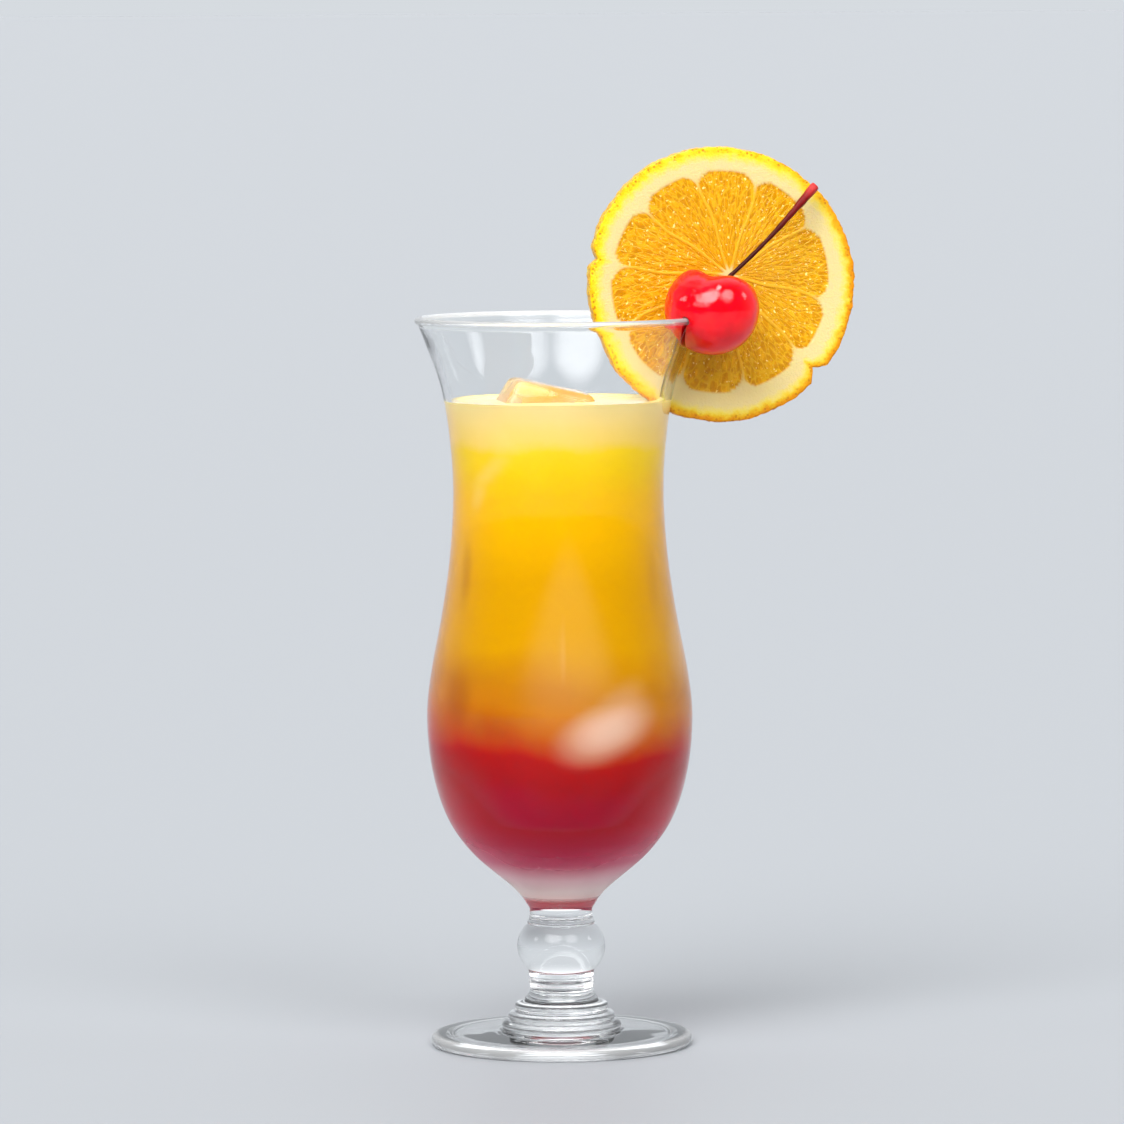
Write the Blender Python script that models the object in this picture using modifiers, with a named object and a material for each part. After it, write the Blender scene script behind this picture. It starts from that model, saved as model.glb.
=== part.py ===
"""A tequila sunrise in a footed hurricane glass, with an orange wheel and a cherry on its rim.

Metres, +Z up. The glass stands on the origin, and the garnish is on its +X side.
"""

import math

import bmesh
import bpy
from mathutils import Matrix, Vector

# Glass
RIM_HEIGHT = 0.2045
RIM_RADIUS = 0.0399
RIM_BEAD = 0.00105
BELLY_RADIUS = 0.0372
BELLY_HEIGHT = 0.0925
WAIST_RADIUS = 0.02945
WAIST_HEIGHT = 0.1562
NECK_RADIUS = 0.0088
BOWL_FOOT_HEIGHT = 0.0385
CAVITY_BOTTOM = 0.0560
KNOP_RADIUS = 0.0124
KNOP_HEIGHT = 0.0277
KNOP_RISE = 0.0099
COLLAR_HEIGHT = 0.0351
COLLAR_RADIUS = 0.0095
FOOT_RADIUS = 0.0366
FOOT_EDGE = 0.0034
STEP_COUNT = 3
STEP_RADIUS = 0.0168
STEP_INSET = 0.0018
STEP_RISE = 0.0027
STEP_BASE = 0.0040
TURN_STEPS = 40
SHARP_ANGLE = math.radians(40.0)

# Drink
GAP = 0.0003
LEVEL = 0.1805
CREAMY_BASE = 0.1696
SYRUP_TOP = 0.0853
DIP_DEPTH = 0.0050
DIP_PLACE = (0.0070, -0.0300)
DIP_WIDTH = 0.0130

# Ice
ICE_TOP = (0.0225, 0.0160)
ICE_HEIGHT = 0.0190
ICE_DRAFT = math.radians(15.0)
ICE_ROUNDING = 0.0020
ICE_CENTRE = (-0.0036, -0.0040, 0.17635)
ICE_YAW = math.radians(10.0)
ICE_TILT = math.radians(13.3)

# Orange wheel, in the upright radial plane of its own azimuth
WHEEL_AZIMUTH = math.radians(11.0)
WHEEL_CENTRE = (0.0465, 0.2129)
WHEEL_RADIUS = 0.0383
WHEEL_THICKNESS = 0.0050
WHEEL_EDGE_ROUNDING = 0.0005
WHEEL_POINTS = 96
CORE_OFFSET = (0.0022, 0.0026)
FLESH_RADIUS = 0.0307
FLESH_DEPTH = 0.0004
MEMBRANE = 0.0007
CORE_RADIUS = 0.0022
CORNER_ROUNDING = 0.16
SEGMENT_STEPS = 9
# Where each segment begins and ends, in degrees round the core
SEGMENTS = (
    (-15.0, 32.5),
    (32.5, 72.5),
    (72.5, 108.0),
    (108.0, 143.5),
    (143.5, 176.5),
    (176.5, 205.0),
    (205.0, 239.5),
    (248.5, 276.0),
    (276.0, 311.0),
    (311.0, 345.0),
)
# Bites out of the peel: angle, half width in degrees, depth
NICKS = ((168.0, 4.5, 0.0019), (317.5, 5.5, 0.0030))
KNIFE_CUT = 0.0006

# Cherry
CHERRY_HALF_WIDTH = 0.0133
CHERRY_HALF_DEPTH = 0.0122
CHERRY_HALF_HEIGHT = 0.0125
CHERRY_REACH = 0.0408
CHERRY_HEIGHT = 0.2062
CHERRY_LEAN = (math.radians(-12.0), math.radians(20.0))
CHERRY_TURN = math.radians(-38.0)
DIMPLE_DEPTH = 0.34
DIMPLE_WIDTH = 0.46
CLEFT_DEPTH = 0.10
CLEFT_WIDTH = 0.40
CLEFT_PLACE = 0.4
CLEFT_REACH = 0.9
SHOULDER_SWELL = 0.03
SHOULDER_PLACE = 0.85
SHOULDER_WIDTH = 0.5
STALK_TIP = (0.0724, -0.0065, 0.2402)
STALK_BASE_RADIUS = 0.0006
STALK_LIFT = 0.0009
STALK_SAG = (0.0, -0.0014, -0.0012)
STALK_POINTS = 11
# The share of the stalk's length at which it starts to thicken
STALK_FLARE_START = 0.45
STALK_TIP_RADIUS = 0.00135

# Colours, linear red, green and blue
CLEAR_GLASS = (0.86, 0.90, 0.92)
CREAMY_JUICE = (1.0, 0.70, 0.19)
JUICE = (0.90, 0.45, 0.01)
SYRUP = (0.45, 0.0, 0.02)
ICE = (0.92, 0.68, 0.22)
PEEL = (0.93, 0.48, 0.02)
CHERRY = (0.80, 0.0, 0.02)
STALK = (0.16, 0.01, 0.01)


def clear_scene():
    for obj in list(bpy.data.objects):
        bpy.data.objects.remove(obj, do_unlink=True)


def collection(name, hidden=False):
    made = bpy.data.collections.new(name)
    made.hide_render = hidden
    bpy.context.scene.collection.children.link(made)
    return made


def material(name, colour, roughness, metallic=0.0):
    made = bpy.data.materials.new(name)
    made.use_nodes = True
    shader = made.node_tree.nodes["Principled BSDF"]
    shader.inputs["Base Color"].default_value = (*colour, 1.0)
    shader.inputs["Roughness"].default_value = roughness
    shader.inputs["Metallic"].default_value = metallic
    made.diffuse_color = (*colour, 1.0)
    return made


def arc(centre, radii, start, end, steps):
    """Points on an ellipse about centre, from start to end degrees, counted from +X towards +Z."""
    angles = [math.radians(start + (end - start) * k / steps) for k in range(steps + 1)]
    return [
        (centre[0] + radii[0] * math.cos(a), centre[1] + radii[1] * math.sin(a))
        for a in angles
    ]


def smooth_through(points, steps):
    """A Catmull-Rom curve through the points, with the given number of steps between each two."""
    ends = [
        tuple(2 * a - b for a, b in zip(points[0], points[1])),
        *points,
        tuple(2 * a - b for a, b in zip(points[-1], points[-2])),
    ]
    curve = []
    for p0, p1, p2, p3 in zip(ends, ends[1:], ends[2:], ends[3:]):
        for k in range(steps):
            t = k / steps
            curve.append(
                tuple(
                    0.5
                    * (
                        2 * b
                        + (c - a) * t
                        + (2 * a - 5 * b + 4 * c - d) * t * t
                        + (3 * b - a - 3 * c + d) * t**3
                    )
                    for a, b, c, d in zip(p0, p1, p2, p3)
                )
            )
    curve.append(points[-1])
    return curve


def moved_sideways(outline, distance):
    """The outline moved to its left, seen along its own direction with X right and Z up."""
    moved = []
    for k, (x, z) in enumerate(outline):
        before = outline[max(k - 1, 0)]
        after = outline[min(k + 1, len(outline) - 1)]
        along = Vector((after[0] - before[0], after[1] - before[1])).normalized()
        moved.append((x - along.y * distance, z + along.x * distance))
    return moved


def bowl_outside():
    """The bowl's outer side, from under the rim down to the neck."""
    stations = [
        (RIM_RADIUS - 0.0010, RIM_HEIGHT - 0.0022),
        (0.0363, 0.1956),
        (0.0328, 0.1856),
        (0.0305, 0.1722),
        (WAIST_RADIUS, WAIST_HEIGHT),
        (0.0304, 0.1385),
        (0.0328, 0.1217),
        (0.0360, 0.1049),
        (BELLY_RADIUS, BELLY_HEIGHT),
        (0.03585, 0.0778),
        (0.03165, 0.0643),
        (0.0245, 0.0541),
        (0.0129, 0.0440),
        (NECK_RADIUS, BOWL_FOOT_HEIGHT),
    ]
    return smooth_through(stations, 2)


def bowl_inside():
    """The bowl's inner side, from the middle of its bottom up to under the rim."""
    stations = [
        (0.0, CAVITY_BOTTOM),
        (0.0080, CAVITY_BOTTOM + 0.0006),
        (0.0150, 0.0586),
        (0.0212, 0.0625),
        (0.0262, 0.0675),
        (0.0306, 0.0745),
        (0.0336, 0.0835),
        (BELLY_RADIUS - 0.0028, BELLY_HEIGHT),
        (0.0334, 0.1049),
        (0.0303, 0.1217),
        (0.0280, 0.1385),
        (WAIST_RADIUS - 0.0022, WAIST_HEIGHT),
        (0.0283, 0.1722),
        (0.0307, 0.1856),
        (0.0342, 0.1956),
        (RIM_RADIUS - 0.0028, RIM_HEIGHT - 0.0022),
    ]
    return smooth_through(stations, 1)


def rim_bead():
    """The rounded lip, from the inside over the top to the outside."""
    centre = (RIM_RADIUS - RIM_BEAD, RIM_HEIGHT - RIM_BEAD)
    return arc(centre, (RIM_BEAD, RIM_BEAD), 165.0, -30.0, 6)


def stem_outside():
    """The neck, its collar, the knop and the lower neck, top to bottom."""
    neck_top = [(NECK_RADIUS, 0.0364)]
    collar = [(COLLAR_RADIUS - 0.0004, COLLAR_HEIGHT), (COLLAR_RADIUS, COLLAR_HEIGHT - 0.0007)]
    knop = arc((0.0, KNOP_HEIGHT), (KNOP_RADIUS, KNOP_RISE), 39.0, -41.0, 8)
    lower = [
        (NECK_RADIUS + 0.0003, 0.0203),
        (NECK_RADIUS, 0.0189),
        (NECK_RADIUS, 0.0164),
        (NECK_RADIUS + 0.0004, 0.0149),
        (NECK_RADIUS + 0.0016, 0.0127),
    ]
    return neck_top + collar + knop + lower


def foot_steps():
    """The stacked rings between the stem and the foot, top to bottom, each a rounded bead."""
    outline = []
    for k in reversed(range(STEP_COUNT)):
        radius = STEP_RADIUS - STEP_INSET * k
        middle = STEP_BASE + STEP_RISE * (k + 0.5)
        outline += arc(
            (radius - STEP_RISE / 2, middle), (STEP_RISE / 2, STEP_RISE / 2), 62.0, -62.0, 3
        )
    return outline


def foot_outside():
    """The foot's top, its rounded edge and its flat underside, to the axis."""
    top = [(0.0250, STEP_BASE), (FOOT_RADIUS - 0.0018, FOOT_EDGE + 0.0001)]
    edge = arc(
        (FOOT_RADIUS - 0.0011, FOOT_EDGE / 2), (0.0011, FOOT_EDGE / 2), 62.0, -70.0, 4
    )
    under = [(FOOT_RADIUS - 0.0012, 0.0), (0.0, 0.0)]
    return top + edge + under


def glass_outline():
    return (
        bowl_inside()
        + rim_bead()
        + bowl_outside()
        + stem_outside()
        + foot_steps()
        + foot_outside()
    )


def turned(name, outline):
    """A solid of revolution as a mesh object. The outline runs down its outer side."""
    mesh = bpy.data.meshes.new(name)
    points = [(x, 0.0, z) for x, z in outline]
    mesh.from_pydata(points, [(k, k + 1) for k in range(len(points) - 1)], [])
    obj = bpy.data.objects.new(name, mesh)
    bpy.context.scene.collection.objects.link(obj)
    screw = obj.modifiers.new("turn", "SCREW")
    screw.axis = "Z"
    screw.steps = TURN_STEPS
    screw.render_steps = TURN_STEPS
    screw.use_merge_vertices = True
    screw.merge_threshold = 1e-5
    weld = obj.modifiers.new("weld", "WELD")
    weld.merge_threshold = 1e-5
    return obj


def made_mesh(obj):
    """Replaces the object by a plain mesh object of the same name and shape."""
    bpy.context.view_layer.update()
    evaluated = obj.evaluated_get(bpy.context.evaluated_depsgraph_get())
    mesh = bpy.data.meshes.new_from_object(evaluated)
    mesh.transform(obj.matrix_world)
    name = obj.name
    bpy.data.objects.remove(obj, do_unlink=True)
    made = bpy.data.objects.new(name, mesh)
    bpy.context.scene.collection.objects.link(made)
    work = bmesh.new()
    work.from_mesh(mesh)
    bmesh.ops.remove_doubles(work, verts=work.verts, dist=1e-6)
    work.to_mesh(mesh)
    work.free()
    return made


def cut(obj, cutter):
    boolean = obj.modifiers.new(f"cut by {cutter.name}", "BOOLEAN")
    boolean.operation = "DIFFERENCE"
    boolean.object = cutter
    boolean.solver = "EXACT"


def finish(obj, place, look):
    """Puts a finished piece in its collection, with its material and its shading."""
    for home in list(obj.users_collection):
        home.objects.unlink(obj)
    place.objects.link(obj)
    obj.data.materials.clear()
    obj.data.materials.append(look)
    obj.data.shade_smooth()
    obj.data.set_sharp_from_angle(angle=SHARP_ANGLE)
    return obj


def as_cutter(obj, place):
    for home in list(obj.users_collection):
        home.objects.unlink(obj)
    place.objects.link(obj)
    obj.hide_render = True
    obj.display_type = "WIRE"
    return obj


def make_glass():
    return turned("glass", glass_outline())


def bell(distance, width):
    """1 at no distance, and falling away smoothly within a width."""
    return math.exp(-((distance / width) ** 2))


def dip_at(x, y):
    """How far the top of the syrup is pushed down there, under a cube of ice by the front wall."""
    return DIP_DEPTH * bell(x - DIP_PLACE[0], DIP_WIDTH) * bell(y - DIP_PLACE[1], DIP_WIDTH)


def radius_inside(height):
    """The cavity's radius at a height, less the gap that liquid keeps to the wall."""
    wall = moved_sideways(bowl_inside(), GAP)
    for (r0, z0), (r1, z1) in zip(wall, wall[1:]):
        if z0 <= height <= z1:
            return r0 + (r1 - r0) * (height - z0) / (z1 - z0)
    raise ValueError("no wall at that height")


def liquid(name, bottom, top, rings):
    """A layer of the drink between two heights, or down to the cavity's bottom if bottom is None."""
    wall = moved_sideways(bowl_inside(), GAP)
    if bottom is None:
        side = [(0.0, CAVITY_BOTTOM + GAP)]
        side += [p for p in wall[1:] if p[1] < top - 0.002]
    else:
        base_radius = radius_inside(bottom)
        side = [(base_radius * k / rings, bottom) for k in range(rings + 1)]
        side += [p for p in wall if bottom + 0.002 < p[1] < top - 0.002]
    top_radius = radius_inside(top)
    lid = [(top_radius * k / rings, top) for k in reversed(range(rings + 1))]
    outline = list(reversed(side + lid))
    return made_mesh(turned(name, outline))


def press_dip(obj, height):
    """Lowers the face of a layer that lies at the height, where the ice presses it down."""
    edge = radius_inside(height)
    for vertex in obj.data.vertices:
        if abs(vertex.co.z - height) < GAP / 10:
            at_wall = vertex.co.xy.length > edge - GAP / 10
            vertex.co.z -= dip_at(vertex.co.x, vertex.co.y)
            if at_wall:
                vertex.co.xy = vertex.co.xy * radius_inside(vertex.co.z) / edge


def make_syrup():
    top = SYRUP_TOP - GAP / 2
    syrup = liquid("grenadine", None, top, 6)
    press_dip(syrup, top)
    return syrup


def make_juice():
    bottom = SYRUP_TOP + GAP / 2
    juice = liquid("orange_juice", bottom, CREAMY_BASE - GAP / 2, 6)
    press_dip(juice, bottom)
    return juice


def make_creamy_layer():
    return liquid("pale_juice", CREAMY_BASE + GAP / 2, LEVEL, 3)


def ice_block(name, growth):
    """A tray cube: a block with drafted sides, its small end up, yawed and tilted. growth thickens it."""
    work = bmesh.new()
    bmesh.ops.create_cube(work, size=1.0)
    spread = 2 * ICE_HEIGHT * math.tan(ICE_DRAFT)
    for vertex in work.verts:
        lower = spread if vertex.co.z < 0 else 0.0
        vertex.co.x *= ICE_TOP[0] + lower + 2 * growth
        vertex.co.y *= ICE_TOP[1] + lower + 2 * growth
        vertex.co.z *= ICE_HEIGHT + 2 * growth
    turn = Matrix.Rotation(ICE_TILT, 4, "Y") @ Matrix.Rotation(ICE_YAW, 4, "Z")
    bmesh.ops.transform(work, matrix=Matrix.Translation(ICE_CENTRE) @ turn, verts=work.verts)
    mesh = bpy.data.meshes.new(name)
    work.to_mesh(mesh)
    work.free()
    obj = bpy.data.objects.new(name, mesh)
    bpy.context.scene.collection.objects.link(obj)
    bevel = obj.modifiers.new("melted edges", "BEVEL")
    bevel.width = ICE_ROUNDING
    bevel.segments = 3
    bevel.limit_method = "NONE"
    return obj


def peel_radius(angle):
    """The wheel's outer radius at an angle in degrees, with its slow waves and its nicks."""
    turn = math.radians(angle)
    wave = 0.0004 * math.sin(2 * turn - 2.4) + 0.0003 * math.sin(3 * turn + 0.9)
    wave += 0.00016 * math.sin(17 * turn) * math.sin(5 * turn + 1.0)
    radius = WHEEL_RADIUS + wave
    for place, half_width, depth in NICKS:
        away = abs((angle - place + 180.0) % 360.0 - 180.0) / half_width
        radius -= depth * max(0.0, 1.0 - away) ** 1.3
    return radius


def flesh_radius(angle):
    """How far the flesh reaches from the wheel's centre, at an angle in degrees."""
    turn = math.radians(angle)
    return FLESH_RADIUS + 0.0009 * math.sin(turn) - 0.0006 * math.cos(turn)


def peel_outline():
    """The wheel's outline about its own centre, with extra points at each nick."""
    angles = {360.0 * k / WHEEL_POINTS for k in range(WHEEL_POINTS)}
    for place, half_width, _ in NICKS:
        angles |= {place + half_width * k for k in (-1.0, -0.5, 0.0, 0.5, 1.0)}
    return [
        (peel_radius(a) * math.cos(math.radians(a)), peel_radius(a) * math.sin(math.radians(a)))
        for a in sorted(angles)
    ]


def segment_outline(start, end):
    """One segment of flesh: two straight sides from near the core, and a round-cornered outer end."""
    middle = math.radians((start + end) / 2)
    half = math.radians((end - start) / 2)
    away = MEMBRANE / 2 / math.sin(half) + CORE_RADIUS
    tip = Vector(CORE_OFFSET) + away * Vector((math.cos(middle), math.sin(middle)))
    outline = [tuple(tip)]
    for k in range(SEGMENT_STEPS + 1):
        share = 2.0 * k / SEGMENT_STEPS - 1.0
        direction = Vector((math.cos(middle + share * half), math.sin(middle + share * half)))
        reach = reach_to_flesh_edge(tip, direction)
        corner = 1.0 - CORNER_ROUNDING * abs(share) ** 5
        outline.append(tuple(tip + direction * reach * corner))
    return outline


def reach_to_flesh_edge(tip, direction):
    """The distance from tip, along direction, to the edge of the flesh."""
    reach = 0.0
    for _ in range(40):
        point = tip + direction * reach
        edge = flesh_radius(math.degrees(math.atan2(point.y, point.x)))
        reach += (edge - point.length) * 0.8
    return reach


def slab(name, outline, low, high):
    """A flat outline given as (across, up), made a slab between two depths in the wheel's own plane."""
    middle = Vector((WHEEL_CENTRE[0], WHEEL_CENTRE[1]))
    curve = bpy.data.curves.new(name, "CURVE")
    curve.dimensions = "2D"
    curve.fill_mode = "BOTH"
    curve.extrude = (high - low) / 2
    spline = curve.splines.new("POLY")
    spline.points.add(len(outline) - 1)
    for point, (x, z) in zip(spline.points, outline):
        point.co = (x + middle.x, z + middle.y, 0.0, 1.0)
    spline.use_cyclic_u = True
    obj = bpy.data.objects.new(name, curve)
    bpy.context.scene.collection.objects.link(obj)
    upright = Matrix.Rotation(math.pi / 2, 4, "X")
    obj.matrix_world = (
        Matrix.Rotation(WHEEL_AZIMUTH, 4, "Z")
        @ Matrix.Translation((0.0, (low + high) / 2, 0.0))
        @ upright
    )
    return made_mesh(obj)


def make_wheel_blank():
    half = WHEEL_THICKNESS / 2
    wheel = slab("orange_wheel", peel_outline(), -half, half)
    bevel = wheel.modifiers.new("soft edge", "BEVEL")
    bevel.width = WHEEL_EDGE_ROUNDING
    bevel.segments = 1
    bevel.limit_method = "ANGLE"
    bevel.angle_limit = math.radians(60.0)
    return wheel


def flesh_hollows(place):
    """Cutters that sink each segment of flesh a little below the pith, on both faces."""
    half = WHEEL_THICKNESS / 2
    hollows = []
    for number, (start, end) in enumerate(SEGMENTS, 1):
        outline = segment_outline(start, end)
        for side, low, high in (
            ("front", -half - 0.001, -half + FLESH_DEPTH),
            ("back", half - FLESH_DEPTH, half + 0.001),
        ):
            hollow = slab(f"segment_{number}_{side}", outline, low, high)
            hollows.append(as_cutter(hollow, place))
    return hollows


def knife_cut(place):
    """The cut from the wheel's core down to its seat on the rim."""
    seat = Vector((RIM_RADIUS - RIM_BEAD, RIM_HEIGHT)) - Vector(WHEEL_CENTRE)
    core = Vector(CORE_OFFSET)
    along = (seat - core).normalized()
    across = Vector((-along.y, along.x)) * KNIFE_CUT / 2
    low = seat + along * 0.0005
    outline = [tuple(p) for p in (core, low + across, low - across)]
    half = WHEEL_THICKNESS / 2 + 0.001
    return as_cutter(slab("knife_cut", outline, -half, half), place)


def rim_clearance(place):
    """The upper wall and lip of the glass, thickened by the gap that the garnish keeps to them."""
    outside = [p for p in moved_sideways(bowl_outside(), GAP) if p[1] > CREAMY_BASE]
    inside = [p for p in moved_sideways(bowl_inside(), GAP) if p[1] > CREAMY_BASE]
    lip = RIM_BEAD + GAP
    centre = (RIM_RADIUS - RIM_BEAD, RIM_HEIGHT - RIM_BEAD)
    outline = inside + arc(centre, (lip, lip), 165.0, -30.0, 6) + outside
    outline.append(inside[0])
    return as_cutter(made_mesh(turned("rim_clearance", outline)), place)


def wheel_clearance(place):
    """A disc a little larger than the wheel, for the hollow that its lower edge makes in the drink."""
    reach = WHEEL_RADIUS + 0.0010 + GAP
    outline = arc((0.0, 0.0), (reach, reach), 0.0, 360.0, 72)[:-1]
    half = WHEEL_THICKNESS / 2 + GAP
    return as_cutter(slab("wheel_clearance", outline, -half, half), place)


def cherry_centre():
    """The cherry lies against the wheel's front face."""
    depth = WHEEL_THICKNESS / 2 + GAP + CHERRY_HALF_DEPTH
    local = Vector((CHERRY_REACH, -depth, CHERRY_HEIGHT))
    return Matrix.Rotation(WHEEL_AZIMUTH, 4, "Z") @ local


def cherry_turn():
    """The cherry turned about its stalk, and its stalk end leant to the back and to the right."""
    return (
        Matrix.Rotation(WHEEL_AZIMUTH, 4, "Z")
        @ Matrix.Rotation(CHERRY_LEAN[1], 4, "Y")
        @ Matrix.Rotation(CHERRY_LEAN[0], 4, "X")
        @ Matrix.Rotation(CHERRY_TURN, 4, "Z")
    )


def cherry_surface(direction):
    """A point of the cherry's skin about its centre, before it is turned, for a unit direction."""
    from_stalk = math.acos(max(-1.0, min(1.0, direction.z)))
    swell = 1.0 + SHOULDER_SWELL * bell(from_stalk - SHOULDER_PLACE, SHOULDER_WIDTH)
    swell -= DIMPLE_DEPTH * bell(from_stalk, DIMPLE_WIDTH)
    swell -= CLEFT_DEPTH * bell(direction.x, CLEFT_WIDTH) * bell(from_stalk - CLEFT_PLACE, CLEFT_REACH)
    return Vector(
        (
            direction.x * CHERRY_HALF_WIDTH * swell,
            direction.y * CHERRY_HALF_DEPTH * swell,
            direction.z * CHERRY_HALF_HEIGHT * swell,
        )
    )


def make_cherry():
    work = bmesh.new()
    bmesh.ops.create_uvsphere(work, u_segments=28, v_segments=18, radius=1.0)
    turn = Matrix.Translation(cherry_centre()) @ cherry_turn()
    for vertex in work.verts:
        vertex.co = turn @ cherry_surface(vertex.co.normalized())
    mesh = bpy.data.meshes.new("cherry")
    work.to_mesh(mesh)
    work.free()
    obj = bpy.data.objects.new("cherry", mesh)
    bpy.context.scene.collection.objects.link(obj)
    return obj


def make_stalk():
    """The cherry's stalk: a thin curve that thickens to a knob where it was picked."""
    turn = Matrix.Translation(cherry_centre()) @ cherry_turn()
    foot = turn @ (cherry_surface(Vector((0.0, 0.0, 1.0))) + Vector((0.0, 0.0, STALK_LIFT)))
    tip = Matrix.Rotation(WHEEL_AZIMUTH, 4, "Z") @ Vector(STALK_TIP)
    span = tip - foot
    shares = [k / (STALK_POINTS - 1) for k in range(STALK_POINTS)]
    curve = bpy.data.curves.new("cherry_stalk", "CURVE")
    curve.dimensions = "3D"
    curve.bevel_depth = 1.0
    curve.bevel_resolution = 2
    curve.use_fill_caps = True
    spline = curve.splines.new("POLY")
    spline.points.add(len(shares) - 1)
    for point, share in zip(spline.points, shares):
        place = foot + span * share + Vector(STALK_SAG) * math.sin(math.pi * share)
        point.co = (*place, 1.0)
        flare = max(0.0, share - STALK_FLARE_START) / (1.0 - STALK_FLARE_START)
        point.radius = STALK_BASE_RADIUS + (STALK_TIP_RADIUS - STALK_BASE_RADIUS) * flare**1.6
    obj = bpy.data.objects.new("cherry_stalk", curve)
    bpy.context.scene.collection.objects.link(obj)
    return made_mesh(obj)


def main():
    clear_scene()
    parts = collection("tequila_sunrise")
    cutters = collection("cutters", hidden=True)

    finish(make_glass(), parts, material("clear glass", CLEAR_GLASS, 0.03))

    rim = rim_clearance(cutters)
    ice_hollow = as_cutter(ice_block("ice_clearance", GAP), cutters)
    wheel_hollow = wheel_clearance(cutters)

    finish(make_syrup(), parts, material("grenadine", SYRUP, 0.2))
    juice = finish(make_juice(), parts, material("orange juice", JUICE, 0.25))
    cut(juice, ice_hollow)
    creamy = finish(make_creamy_layer(), parts, material("pale juice", CREAMY_JUICE, 0.25))
    cut(creamy, ice_hollow)
    cut(creamy, wheel_hollow)
    finish(ice_block("ice_cube", 0.0), parts, material("ice", ICE, 0.08))

    wheel = finish(make_wheel_blank(), parts, material("orange peel and flesh", PEEL, 0.4))
    for hollow in flesh_hollows(cutters):
        cut(wheel, hollow)
    cut(wheel, knife_cut(cutters))
    cut(wheel, rim)

    cherry = finish(make_cherry(), parts, material("cherry skin", CHERRY, 0.12))
    cut(cherry, rim)
    finish(make_stalk(), parts, material("cherry stalk", STALK, 0.4))


main()
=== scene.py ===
"""The looks of a tequila sunrise: its hurricane glass, layers, ice, orange wheel and cherry."""

import logging
import math
from dataclasses import dataclass, field
from enum import Enum
from typing import Any, Callable, Sequence

import bmesh
import bpy
import numpy as np
from mathutils import Matrix, Vector, noise


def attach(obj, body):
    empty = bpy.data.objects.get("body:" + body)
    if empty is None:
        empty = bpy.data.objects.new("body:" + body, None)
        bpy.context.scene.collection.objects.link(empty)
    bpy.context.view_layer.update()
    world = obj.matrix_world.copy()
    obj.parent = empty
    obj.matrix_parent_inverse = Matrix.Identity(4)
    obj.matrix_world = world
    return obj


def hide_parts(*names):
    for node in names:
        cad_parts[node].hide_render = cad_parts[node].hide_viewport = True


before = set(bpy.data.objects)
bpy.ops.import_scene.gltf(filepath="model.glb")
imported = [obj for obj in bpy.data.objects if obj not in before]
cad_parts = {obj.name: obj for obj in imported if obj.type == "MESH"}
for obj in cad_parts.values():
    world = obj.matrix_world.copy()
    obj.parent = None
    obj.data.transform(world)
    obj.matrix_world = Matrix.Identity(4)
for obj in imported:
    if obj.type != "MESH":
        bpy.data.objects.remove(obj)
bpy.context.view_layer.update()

log = logging.getLogger("tequila_sunrise")

MM = 0.001
# A radius under this is a pole, corners nearer than WELD are one, and edges past SHARP stay crisp.
ON_AXIS = 1e-7
WELD = 0.004 * MM
SHARP = math.radians(50.0)
BODY = "root"
# Weights that spread a cell's column, row and face, for its shift across and its shift along.
CELL_WEIGHTS = ((127.1, 311.7, 74.7, 43758.5453), (269.5, 183.3, 24.1, 28001.8384))

Point = tuple[float, float]
Triple = tuple[float, float, float]
Colour = tuple[float, float, float, float]
Stops = tuple[tuple[float, str], ...]
Tree = bpy.types.NodeTree
Socket = bpy.types.NodeSocket
Piece = bpy.types.Object
Finish = bpy.types.Material

# Node settings that come up again and again.
TIMES = {"operation": "MULTIPLY"}
PLUS = {"operation": "ADD"}
SMOOTH = {"interpolation_type": "SMOOTHSTEP"}
IN_COLOUR = {"data_type": "RGBA"}
IN_NUMBERS = {"data_type": "FLOAT"}


class Node(Enum):
    """The kinds of shader node that the finishes are made from."""

    ATTRIBUTE = "ShaderNodeAttribute"
    BACKGROUND = "ShaderNodeBackground"
    BUMP = "ShaderNodeBump"
    COLOUR_MIX = "ShaderNodeMix"
    COMBINE = "ShaderNodeCombineXYZ"
    COORDINATES = "ShaderNodeTexCoord"
    FACING = "ShaderNodeLayerWeight"
    MAPPING = "ShaderNodeMapping"
    MATH = "ShaderNodeMath"
    NOISE = "ShaderNodeTexNoise"
    OUTPUT = "ShaderNodeOutputMaterial"
    PRINCIPLED = "ShaderNodeBsdfPrincipled"
    RAMP = "ShaderNodeValToRGB"
    RANGE = "ShaderNodeMapRange"
    SEPARATE = "ShaderNodeSeparateXYZ"
    VECTOR_MATH = "ShaderNodeVectorMath"
    VORONOI = "ShaderNodeTexVoronoi"
    WORLD_OUTPUT = "ShaderNodeOutputWorld"


def srgb(code: str) -> Colour:
    """Turns an sRGB hex colour into linear red, green, blue and alpha.

    Args:
        code: six hex digits, with or without a leading "#".

    Returns:
        The linear colour, with an alpha of 1.
    """
    digits = code.lstrip("#")
    channels = [int(digits[k : k + 2], 16) / 255 for k in (0, 2, 4)]
    linear = [c / 12.92 if c <= 0.04045 else ((c + 0.055) / 1.055) ** 2.4 for c in channels]
    return (linear[0], linear[1], linear[2], 1.0)


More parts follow.
